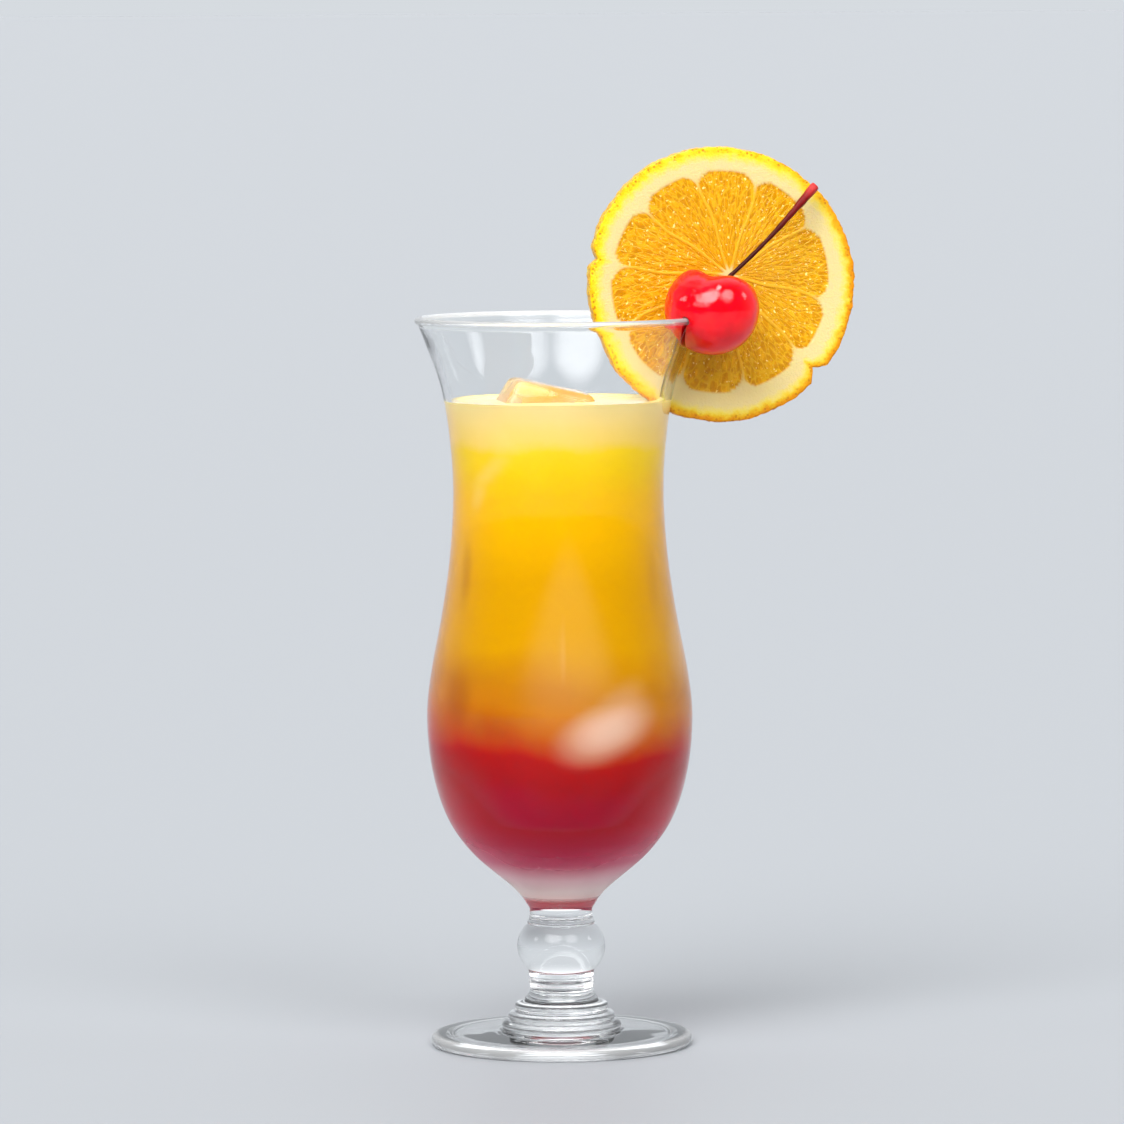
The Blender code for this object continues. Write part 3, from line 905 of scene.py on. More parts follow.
@dataclass(frozen=True)
class CutOrange:
    """A knife-cut orange: wet juice sacs with glints partly painted into their colour, dry cream
    pith, waxy zest with oil glands.

    Sizes are in millimetres, and depths in the peel are counted from its outside.
    """

    # From zest to pith, as shares of the peel's depth, with a ragged border.
    peel_layers: Stops = (
        (0.0, "#DEAA02"),
        (0.10, "#E8C808"),
        (0.24, "#E8D42C"),
        (0.38, "#E4CF64"),
        (0.55, "#DECA8C"),
        (1.0, "#DEC98A"),
    )
    peel_depth: float = 8.0
    mottle: float = 2.2
    mottle_depth: float = 1.8
    # The zest turns deeper gold towards the lower right, near its outside.
    lower_right_tone: str = "#D88A00"
    lower_right_depth: Point = (3.2, 0.4)
    # Oil glands, as dark dots about 1 mm apart.
    gland: float = 1.15
    gland_spot: Point = (0.42, 0.18)
    gland_depth: Point = (2.3, 0.9)
    gland_strength: float = 0.8
    gland_tone: str = "#B87406"
    # Juice sacs about 1.25 by 5 mm, darker in their grooves as painted shade, with finer veins, and
    # pale threads between them.
    juice: Stops = ((0.28, "#C08000"), (0.44, "#CC8A00"), (0.58, "#D69600"), (0.72, "#F0B418"))
    sac_width: float = 1.25
    sac_length: float = 5.0
    sac_grain: float = 1.6
    vein_grain: float = 1.1
    vein_share: float = 0.78
    middle_radius: float = 16.0
    thread: float = 0.16
    thread_tone: str = "#E0AC18"
    membrane_tone: str = "#E2AC1C"
    # Painted glints: pale spots painted into the juice's colour as highlights, a little coarser
    # than real so that they show, and the grit of a cut surface.
    painted_glint_size: float = 0.9
    painted_glint_range: Point = (0.64, 0.72)
    painted_glint_tone: str = "#FFE486"
    grit: float = 0.55
    grit_depth: float = 0.3
    # Waxy zest is glossier than the dry pith within, and cut flesh is wet.
    dry_depth: float = 2.5
    dry_roughness: Point = (0.30, 0.55)
    wet_roughness: float = 0.1
    index: float = 1.38
    gloss: float = 0.35
    scattering: float = 0.45
    scatter_reach: Triple = (1.0, 0.55, 0.12)
    scatter_depth: float = 2.2
    core: Point = (0.0, 0.0)
    azimuth: float = 0.0

    def build(self) -> Finish:
        """Makes the material.

        Returns:
            The material, ready for its piece.
        """
        material, tree = new_material("knife-cut_orange")
        place = millimetres(tree)
        flesh = add_node(tree, Node.ATTRIBUTE, {"attribute_name": "flesh"}).outputs["Fac"]
        edge = add_node(tree, Node.ATTRIBUTE, {"attribute_name": "edge_mm"}).outputs["Fac"]
        sac = add_node(tree, Node.ATTRIBUTE, {"attribute_name": "sac"}).outputs["Fac"]
        colour, dots = self.peel(tree, place, edge)
        juicy, fibres = self.pulp(tree, place, sac)
        inner = add_node(tree, Node.ATTRIBUTE, {"attribute_name": "inner"}).outputs["Fac"]
        skins = add_node(tree, Node.COLOUR_MIX, IN_COLOUR, {
            "Factor": inner, "A": colour, "B": srgb(self.membrane_tone)
        })
        base = add_node(tree, Node.COLOUR_MIX, IN_COLOUR, {
            "Factor": flesh, "A": skins.outputs["Result"], "B": juicy
        })
        fine = add_node(
            tree, Node.NOISE, links={"Vector": place, "Scale": 1 / self.grit, "Detail": 3.0}
        )
        dry = add_node(tree, Node.RANGE, links={
            "Value": edge,
            "From Max": self.dry_depth,
            "To Min": self.dry_roughness[0],
            "To Max": self.dry_roughness[1],
        })
        roughness = add_node(tree, Node.COLOUR_MIX, IN_NUMBERS, {
            "Factor": flesh, "A": dry.outputs["Result"], "B": self.wet_roughness
        })
        relief = add_node(
            tree, Node.COLOUR_MIX, IN_NUMBERS, {"Factor": flesh, "A": dots, "B": fibres}
        )
        coarse = add_node(tree, Node.BUMP, links={
            "Height": relief.outputs["Result"],
            "Strength": 0.35,
            "Distance": self.grit_depth * MM,
        })
        bump = add_node(tree, Node.BUMP, links={
            "Height": fine.outputs["Fac"],
            "Strength": 0.7,
            "Distance": self.grit_depth * MM,
            "Normal": coarse.outputs["Normal"],
        })
        shader = add_node(tree, Node.PRINCIPLED, links={
            "Base Color": base.outputs["Result"],
            "Roughness": roughness.outputs["Result"],
            "IOR": self.index,
            "Specular IOR Level": self.gloss,
            "Subsurface Weight": self.scattering,
            "Subsurface Radius": self.scatter_reach,
            "Subsurface Scale": self.scatter_depth * MM,
            "Normal": bump.outputs["Normal"],
        })
        add_node(tree, Node.OUTPUT, links={"Surface": shader.outputs["BSDF"]})
        return material

    def peel(self, tree: Tree, place: Socket, edge: Socket) -> tuple[Socket, Socket]:
        """Adds the zest with its oil glands and the pith.

        Args:
            tree: the material's node tree.
            place: the place in millimetres.
            edge: the distance in from the peel's outside, in millimetres.

        Returns:
            The colour, and the relief of the glands.
        """
        mottle = add_node(
            tree, Node.NOISE, links={"Vector": place, "Scale": 1 / self.mottle, "Detail": 4.0}
        )
        shift = add_node(tree, Node.RANGE, links={
            "Value": mottle.outputs["Fac"],
            "To Min": -self.mottle_depth,
            "To Max": self.mottle_depth,
        })
        ragged = add_node(tree, Node.MATH, PLUS, {0: edge, 1: shift.outputs["Result"]})
        share = add_node(
            tree, Node.RANGE, links={"Value": ragged.outputs[0], "From Max": self.peel_depth}
        )
        layers = add_node(
            tree,
            Node.RAMP,
            links={"Fac": share.outputs["Result"]},
            stops=colour_stops(self.peel_layers),
        )
        lower_right_share = add_node(tree, Node.ATTRIBUTE, {"attribute_name": "lower_right_share"}).outputs["Fac"]
        skin_deep = add_node(
            tree, Node.RANGE, SMOOTH, {"Value": ragged.outputs[0], **between(self.lower_right_depth)}
        )
        deepening = add_node(tree, Node.MATH, TIMES, {0: lower_right_share, 1: skin_deep.outputs["Result"]})
        deepened = add_node(tree, Node.COLOUR_MIX, IN_COLOUR, {
            "Factor": deepening.outputs[0], "A": layers.outputs["Color"], "B": srgb(self.lower_right_tone)
        })
        glands = add_node(tree, Node.VORONOI, {"feature": "F1"}, {
            "Vector": place, "Scale": 1 / self.gland, "Randomness": 0.85
        })
        near_skin = add_node(tree, Node.RANGE, links={"Value": edge, **between(self.gland_depth)})
        spot = add_node(tree, Node.RANGE, SMOOTH, {
            "Value": glands.outputs["Distance"], **between(self.gland_spot)
        })
        dotted = add_node(
            tree, Node.MATH, TIMES, {0: spot.outputs["Result"], 1: near_skin.outputs["Result"]}
        )
        faint = add_node(tree, Node.MATH, TIMES, {0: dotted.outputs[0], 1: self.gland_strength})
        colour = add_node(tree, Node.COLOUR_MIX, IN_COLOUR, {
            "Factor": faint.outputs[0], "A": deepened.outputs["Result"], "B": srgb(self.gland_tone)
        })
        pits = add_node(tree, Node.MATH, {"operation": "SUBTRACT"}, {0: 1.0, 1: dotted.outputs[0]})
        return colour.outputs["Result"], pits.outputs[0]

    def pulp(self, tree: Tree, place: Socket, sac: Socket) -> tuple[Socket, Socket]:
        """Adds the juice sacs, which run out from the core, with painted glints.

        Args:
            tree: the material's node tree.
            place: the place in millimetres.
            sac: the relief of the sacs, from 0 in the grooves to 1 on their backs.

        Returns:
            The colour with its painted glints, and the relief of the fibres.
        """
        upright = add_node(
            tree,
            Node.MAPPING,
            {"vector_type": "TEXTURE"},
            {"Vector": place, "Rotation": (0.0, 0.0, self.azimuth)},
        )
        centred = add_node(tree, Node.MAPPING, links={
            "Vector": upright.outputs["Vector"],
            "Location": (-self.core[0] / MM, 0.0, -self.core[1] / MM),
        })
        axes = add_node(tree, Node.SEPARATE, links={"Vector": centred.outputs["Vector"]})
        turn = add_node(
            tree, Node.MATH, {"operation": "ARCTAN2"}, {0: axes.outputs["Z"], 1: axes.outputs["X"]}
        )
        reach = flat_length(tree, axes.outputs["X"], axes.outputs["Z"])
        around = add_node(
            tree, Node.MATH, TIMES, {0: turn.outputs[0], 1: self.middle_radius / self.sac_width}
        )
        outward = add_node(tree, Node.MATH, {"operation": "DIVIDE"}, {0: reach, 1: self.sac_length})
        polar = add_node(tree, Node.COMBINE, links={
            "X": around.outputs[0], "Y": outward.outputs[0], "Z": axes.outputs["Y"]
        })
        threads = add_node(tree, Node.VORONOI, {"feature": "DISTANCE_TO_EDGE"}, {
            "Vector": polar.outputs["Vector"], "Scale": self.sac_grain
        })
        thread = add_node(
            tree, Node.RANGE, links={"Value": threads.outputs["Distance"], "From Max": self.thread}
        )
        veins = add_node(tree, Node.NOISE, links={
            "Vector": polar.outputs["Vector"],
            "Scale": self.vein_grain,
            "Detail": 6.0,
            "Roughness": 0.7,
        })
        # Painted shade: the juice is darker where the sacs' relief is low, in the grooves.
        mixed = add_node(tree, Node.COLOUR_MIX, IN_NUMBERS, {
            "Factor": self.vein_share, "A": sac, "B": veins.outputs["Fac"]
        })
        juice = add_node(
            tree, Node.RAMP, links={"Fac": mixed.outputs["Result"]}, stops=colour_stops(self.juice)
        )
        colour = add_node(tree, Node.COLOUR_MIX, IN_COLOUR, {
            "Factor": thread.outputs["Result"],
            "A": srgb(self.thread_tone),
            "B": juice.outputs["Color"],
        })
        # Painted highlights: pale glints painted into the juice's colour.
        painted_glint_noise = add_node(
            tree, Node.NOISE, links={"Vector": place, "Scale": 1 / self.painted_glint_size, "Detail": 2.0}
        )
        painted_glint_mask = add_node(
            tree, Node.RANGE, SMOOTH, {"Value": painted_glint_noise.outputs["Fac"], **between(self.painted_glint_range)}
        )
        with_painted_glints = add_node(tree, Node.COLOUR_MIX, IN_COLOUR, {
            "Factor": painted_glint_mask.outputs["Result"],
            "A": colour.outputs["Result"],
            "B": srgb(self.painted_glint_tone),
        })
        return with_painted_glints.outputs["Result"], thread.outputs["Result"]


@dataclass(frozen=True)
class CocktailCherry:
    """A stoned cherry kept in red syrup: a taut, glassy skin over translucent flesh."""

    patch: float = 9.0
    reds: Stops = ((0.30, "#D40010"), (0.52, "#EC001A"), (0.75, "#FA1212"))
    # The steeped skin puckers at some 2.6 mm, under a coat of syrup.
    pucker: float = 2.6
    pucker_depth: float = 0.25
    pucker_strength: float = 0.25
    roughness: float = 0.08
    index: float = 1.36
    scattering: float = 0.85
    scatter_reach: Triple = (1.0, 0.06, 0.04)
    scatter_depth: float = 4.0
    syrup_coat: float = 0.3
    coat_roughness: float = 0.02

    def build(self) -> Finish:
        """Makes the material.

        Returns:
            The material, ready for its piece.
        """
        material, tree = new_material("syruped_cherry_skin")
        place = millimetres(tree)
        patches = add_node(
            tree, Node.NOISE, links={"Vector": place, "Scale": 1 / self.patch, "Detail": 3.0}
        )
        colour = add_node(
            tree, Node.RAMP, links={"Fac": patches.outputs["Fac"]}, stops=colour_stops(self.reds)
        )
        normal = rippled(tree, place, self.pucker, 2.0, self.pucker_strength, self.pucker_depth)
        shader = add_node(tree, Node.PRINCIPLED, links={
            "Base Color": colour.outputs["Color"],
            "Roughness": self.roughness,
            "IOR": self.index,
            "Subsurface Weight": self.scattering,
            "Subsurface Radius": self.scatter_reach,
            "Subsurface Scale": self.scatter_depth * MM,
            "Coat Weight": self.syrup_coat,
            "Coat Roughness": self.coat_roughness,
            "Normal": normal,
        })
        add_node(tree, Node.OUTPUT, links={"Surface": shader.outputs["BSDF"]})
        return material


@dataclass(frozen=True)
class SoakedStalk:
    """A cherry stalk soaked in syrup: dark maroon, fibrous along its length, with a damp shine."""

    tones: Stops = (
        (0.0, "#5A0C06"),
        (0.15, "#340402"),
        (0.60, "#480402"),
        (0.88, "#780608"),
        (0.97, "#BC3230"),
    )
    # Fibres drawn about twice as coarse as real ones, so that they show.
    fibre: float = 0.8
    fibre_depth: float = 0.15
    fibre_share: float = 0.35
    roughness: float = 0.4
    index: float = 1.33
    gloss: float = 0.3

    def build(self) -> Finish:
        """Makes the material.

        Returns:
            The material, ready for its piece.
        """
        material, tree = new_material("syrup-soaked_stalk")
        place = millimetres(tree)
        along = add_node(tree, Node.ATTRIBUTE, {"attribute_name": "along"}).outputs["Fac"]
        fibres = add_node(
            tree, Node.NOISE, links={"Vector": place, "Scale": 1 / self.fibre, "Detail": 3.0}
        )
        tone = add_node(tree, Node.RAMP, links={"Fac": along}, stops=colour_stops(self.tones))
        colour = add_node(tree, Node.COLOUR_MIX, {"data_type": "RGBA", "blend_type": "OVERLAY"}, {
            "Factor": self.fibre_share, "A": tone.outputs["Color"], "B": fibres.outputs["Fac"]
        })
        bump = add_node(tree, Node.BUMP, links={
            "Height": fibres.outputs["Fac"],
            "Strength": 0.4,
            "Distance": self.fibre_depth * MM,
        })
        shader = add_node(tree, Node.PRINCIPLED, links={
            "Base Color": colour.outputs["Result"],
            "Roughness": self.roughness,
            "IOR": self.index,
            "Specular IOR Level": self.gloss,
            "Normal": bump.outputs["Normal"],
        })
        add_node(tree, Node.OUTPUT, links={"Surface": shader.outputs["BSDF"]})
        return material


@dataclass(frozen=True)
class MattPaint:
    """Matt pale paint on board, rolled: an even tone with a faint, fine stipple."""

    tone: str = "#94979B"
    # The stipple that a short-pile roller leaves.
    stipple: float = 1.6
    stipple_depth: float = 0.1
    stipple_strength: float = 0.08
    roughness: float = 0.5
    index: float = 1.45

    def build(self) -> Finish:
        """Makes the material.

        Returns:
            The material, ready for its piece.
        """
        material, tree = new_material("rolled_matt_paint")
        place = millimetres(tree)
        normal = rippled(tree, place, self.stipple, 2.0, self.stipple_strength, self.stipple_depth)
        shader = add_node(tree, Node.PRINCIPLED, links={
            "Base Color": srgb(self.tone),
            "Roughness": self.roughness,
            "IOR": self.index,
            "Normal": normal,
        })
        add_node(tree, Node.OUTPUT, links={"Surface": shader.outputs["BSDF"]})
        return material


@dataclass
class HurricaneGlass:
    """The footed glass, turned from one outline. Sizes are in metres.

    The outline's own points lie between the named sizes, where the photograph shows its curve.
    """

    rim_height: float = 0.2045
    rim_radius: float = 0.0399
    rim_bead: float = 0.00105
    belly_radius: float = 0.0372
    belly_height: float = 0.0925
    waist_radius: float = 0.02945
    waist_height: float = 0.1562
    neck_radius: float = 0.0088
    bowl_foot: float = 0.0385
    cavity_bottom: float = 0.0560
    knop_radius: float = 0.0124
    knop_height: float = 0.0277
    knop_rise: float = 0.0099
    collar_height: float = 0.0351
    collar_radius: float = 0.0095
    foot_radius: float = 0.0366
    foot_edge: float = 0.0034
    recess_radius: float = 0.0310
    recess_depth: float = 0.0011
    step_count: int = 3
    step_radius: float = 0.0168
    step_inset: float = 0.0018
    step_rise: float = 0.0027
    step_base: float = 0.0040
    garnish_floor: float = 0.168
    curve_steps: int = 7
    segments: int = 144

    def outside(self) -> list[Point]:
        """Gives the bowl's outer side, from under the rim down to the neck.

        Returns:
            The outline's points, as radius and height in metres.
        """
        stations = [
            (self.rim_radius - 0.0010, self.rim_height - 0.0022),
            (0.0363, 0.1956),
            (0.0328, 0.1856),
            (0.0305, 0.1722),
            (self.waist_radius, self.waist_height),
            (0.0304, 0.1385),
            (0.0328, 0.1217),
            (0.0360, 0.1049),
            (self.belly_radius, self.belly_height),
            (0.03585, 0.0778),
            (0.03165, 0.0643),
            (0.0245, 0.0541),
            (0.0129, 0.0440),
            (self.neck_radius, self.bowl_foot),
        ]
        return smooth_through(stations, self.curve_steps)

    def inside(self) -> list[Point]:
        """Gives the bowl's inner side, from the middle of its bottom up to under the rim.

        Returns:
            The outline's points, as radius and height in metres.
        """
        stations = [
            (0.0, self.cavity_bottom),
            (0.0080, self.cavity_bottom + 0.0006),
            (0.0150, 0.0586),
            (0.0212, 0.0625),
            (0.0262, 0.0675),
            (0.0306, 0.0745),
            (0.0336, 0.0835),
            (self.belly_radius - 0.0028, self.belly_height),
            (0.0334, 0.1049),
            (0.0303, 0.1217),
            (0.0280, 0.1385),
            (self.waist_radius - 0.0022, self.waist_height),
            (0.0283, 0.1722),
            (0.0307, 0.1856),
            (0.0342, 0.1956),
            (self.rim_radius - 0.0028, self.rim_height - 0.0022),
        ]
        return smooth_through(stations, self.curve_steps)

    def radius_inside(self, height: float, outward: float = 0.0) -> float:
        """Gives the cavity's radius at a height.

        Args:
            height: the height in metres.
            outward: how far into the wall to measure, in metres.

        Returns:
            The radius in metres.
        """
        wall = moved_sideways(self.inside(), -outward)
        return float(np.interp(height, [z for _, z in wall], [r for r, _ in wall]))

    def lip(self, growth: float = 0.0) -> list[Point]:
        """Gives the rounded lip, from the inside over the top to the outside.

        Args:
            growth: how much thicker than the lip to make it, in metres.

        Returns:
            The outline's points, as radius and height in metres.
        """
        centre = (self.rim_radius - self.rim_bead, self.rim_height - self.rim_bead)
        radius = self.rim_bead + growth
        return arc(centre, (radius, radius), 165.0, -30.0, 16)

    def stem(self) -> list[Point]:
        """Gives the neck, its collar, the knop and the lower neck, top to bottom.

        Returns:
            The outline's points, as radius and height in metres.
        """
        collar = arc(
            (self.collar_radius - 0.0006, self.collar_height - 0.0005), (0.0006, 0.0006), 75, -60, 6
        )
        knop = arc((0.0, self.knop_height), (self.knop_radius, self.knop_rise), 39.0, -41.0, 26)
        lower = smooth_through(
            [
                (self.neck_radius + 0.0003, 0.0203),
                (self.neck_radius, 0.0189),
                (self.neck_radius, 0.0164),
                (self.neck_radius + 0.0004, 0.0149),
                (self.neck_radius + 0.0016, 0.0127),
            ],
            4,
        )
        ring = arc((self.neck_radius - 0.0001, 0.0177), (0.0005, 0.0007), 62, -62, 5)
        upper_part = [p for p in lower if p[1] > 0.0184]
        lower_part = [p for p in lower if p[1] < 0.0170]
        neck = [(self.neck_radius, 0.0364)]
        return neck + collar + knop + upper_part + ring + lower_part

    def steps(self) -> list[Point]:
        """Gives the stacked rings between the stem and the foot, each a rounded bead.

        Returns:
            The outline's points, as radius and height in metres.
        """
        outline = []
        for k in reversed(range(self.step_count)):
            radius = self.step_radius - self.step_inset * k
            middle = self.step_base + self.step_rise * (k + 0.5)
            half = self.step_rise / 2
            outline += arc((radius - half, middle), (half, half), 66.0, -66.0, 8)
        return outline

    def foot(self) -> list[Point]:
        """Gives the foot's top, its rounded edge and its underside with a shallow recess.

        Returns:
            The outline's points, as radius and height in metres.
        """
        top = smooth_through(
            [
                (self.step_radius + 0.0010, self.step_base + 0.0004),
                (0.0230, self.step_base + 0.0001),
                (self.foot_radius - 0.0050, self.step_base - 0.0003),
                (self.foot_radius - 0.0018, self.foot_edge + 0.0001),
            ],
            5,
        )
        half = self.foot_edge / 2
        edge = arc((self.foot_radius - 0.0011, half), (0.0011, half), 62.0, -70.0, 9)
        recess = smooth_through(
            [
                (self.recess_radius + 0.0014, 0.0),
                (self.recess_radius + 0.0003, 0.0003),
                (self.recess_radius - 0.0012, self.recess_depth * 0.85),
                (self.recess_radius - 0.0045, self.recess_depth),
                (self.recess_radius * 0.4, self.recess_depth),
            ],
            4,
        )
        return top + edge + [(self.foot_radius - 0.0012, 0.0)] + recess + [(0.0, self.recess_depth)]

    def build(self) -> Piece:
        """Makes the glass and dresses it.

        Returns:
            The dressed glass.
        """
        outline = (
            self.inside() + self.lip() + self.outside() + self.stem() + self.steps() + self.foot()
        )
        glass = turned("hurricane_glass", outline, self.segments)
        return dress(glass, PressedGlass().build(), ["glass"])

    def clearance(self, gap: float) -> Piece:
        """Makes the upper wall and lip thickened by a gap, to slot a garnish with.

        Args:
            gap: the space to keep, in metres.

        Returns:
            The cutter.
        """
        outer = [p for p in moved_sideways(self.outside(), gap) if p[1] > self.garnish_floor]
        inner = [p for p in moved_sideways(self.inside(), gap) if p[1] > self.garnish_floor]
        outline = inner + self.lip(gap) + outer
        outline.append(inner[0])
        cutter = turned("rim_clearance", outline, self.segments)
        work = bmesh.new()
        work.from_mesh(cutter.data)
        bmesh.ops.remove_doubles(work, verts=work.verts, dist=WELD / 4)
        bmesh.ops.recalc_face_normals(work, faces=work.faces)
        work.to_mesh(cutter.data)
        work.free()
        return cutter


@dataclass
class IceCube:
    """A tray cube that floats with one edge and its small end above the drink. Sizes in metres."""

    top: Point = (0.0225, 0.0160)
    height: float = 0.0190
    draft: float = math.radians(15.0)
    rounding: float = 0.0019
    centre: Triple = (-0.0036, -0.0040, 0.17635)
    yaw: float = math.radians(10.0)
    tilt: float = math.radians(13.3)
    voxel: float = 0.00055
    melt_passes: int = 6
    swell: float = 0.14 * MM
    swell_grain: float = 7 * MM
    melted_back: float = 0.05 * MM

    def turn(self) -> Matrix:
        """Gives the cube's place and lean."""
        lean = Matrix.Rotation(self.tilt, 4, "Y") @ Matrix.Rotation(self.yaw, 4, "Z")
        return Matrix.Translation(self.centre) @ lean

    def block(self, name: str, growth: float) -> Piece:
        """Makes the drafted block with rounded edges.

        Args:
            name: the object's name.
            growth: how much thicker than the cube to make it, in metres.

        Returns:
            The block.
        """
        work = bmesh.new()
        bmesh.ops.create_cube(work, size=1.0)
        spread = 2 * self.height * math.tan(self.draft)
        for vertex in work.verts:
            lower = spread if vertex.co.z < 0 else 0.0
            vertex.co.x *= self.top[0] + lower + 2 * growth
            vertex.co.y *= self.top[1] + lower + 2 * growth
            vertex.co.z *= self.height + 2 * growth
        bmesh.ops.bevel(
            work,
            geom=work.edges[:],
            offset=self.rounding,
            segments=5,
            profile=0.5,
            affect="EDGES",
        )
        bmesh.ops.transform(work, matrix=self.turn(), verts=work.verts)
        return object_from(name, work)

    def outside_by(self, where: np.ndarray) -> np.ndarray:
        """Gives how far each place lies outside the cube's drafted sides, in metres.

        Args:
            where: places in metres, one row each.

        Returns:
            One distance for each place, negative inside.
        """
        inverse = np.array(self.turn().inverted())
        local = where @ inverse[:3, :3].T + inverse[:3, 3]
        widening = (self.height / 2 - local[:, 2]) * math.tan(self.draft)
        across = np.abs(local[:, 0]) - self.top[0] / 2 - widening
        deep = np.abs(local[:, 1]) - self.top[1] / 2 - widening
        return np.maximum(across, deep)

    def build(self) -> Piece:
        """Makes the melted cube and dresses it.

        Returns:
            The dressed cube.
        """
        cube = self.block("ice_cube_melting", 0.0)
        remesh = cube.modifiers.new("even faces", "REMESH")
        remesh.mode = "VOXEL"
        remesh.voxel_size = self.voxel
        soften = cube.modifiers.new("melted edges", "SMOOTH")
        soften.factor = 0.5
        soften.iterations = self.melt_passes
        apply_modifiers(cube)
        where = places(cube)
        centre = np.array(self.centre)
        outward = where - centre
        outward /= np.linalg.norm(outward, axis=1)[:, None]
        swell = self.swell * grain(where, self.swell_grain) - self.melted_back
        set_places(cube, where + outward * swell[:, None])
        tidy_mesh(cube)
        return dress(cube, MeltingIce().build(), ["ice_cube"])


class Tone(Enum):
    """How sunk ice shows at the wall: as a pale face or as a darker edge. The pale tone also
    carries painted highlights.
    """

    PALE = "sunk_ice"
    DARK = "ice_edge"


@dataclass(frozen=True)
class SunkIceAndHighlight:
    """One face or edge of a sunk cube that shows softly through the drink at the wall, or a painted
    highlight streak.

    Lengths are in metres and angles in degrees. It fades out towards the axis, within `fade`.
    """

    azimuth: float
    height: float
    half_width: float
    half_height: float
    slant: float
    strength: float
    tone: Tone = Tone.PALE
    taper: float = 0.0
    core: float = 0.15
    squareness: float = 2.6
    fade: Point = (0.012, 0.022)

    def mask(self, where: np.ndarray) -> np.ndarray:
        """Gives how strongly the face shows at each place.

        Args:
            where: places on the drink, in metres.

        Returns:
            A value from 0 to the face's strength for each place.
        """
        radius = np.hypot(where[:, 0], where[:, 1])
        away = np.degrees(np.arctan2(where[:, 1], where[:, 0])) - self.azimuth
        along = radius * np.radians((away + 180.0) % 360.0 - 180.0)
        up = where[:, 2] - self.height
        cos, sin = math.cos(math.radians(self.slant)), math.sin(math.radians(self.slant))
        s = along * cos + up * sin
        t = (up * cos - along * sin) / self.half_height
        s = s / (self.half_width * (1.0 - self.taper * np.clip(t, -1.0, 1.0)))
        power = self.squareness
        far = (np.abs(s) ** power + np.abs(t) ** power) ** (1.0 / power)
        shown = self.strength * (1.0 - ramp_between(far, self.core, 1.0))
        return shown * ramp_between(radius, *self.fade)


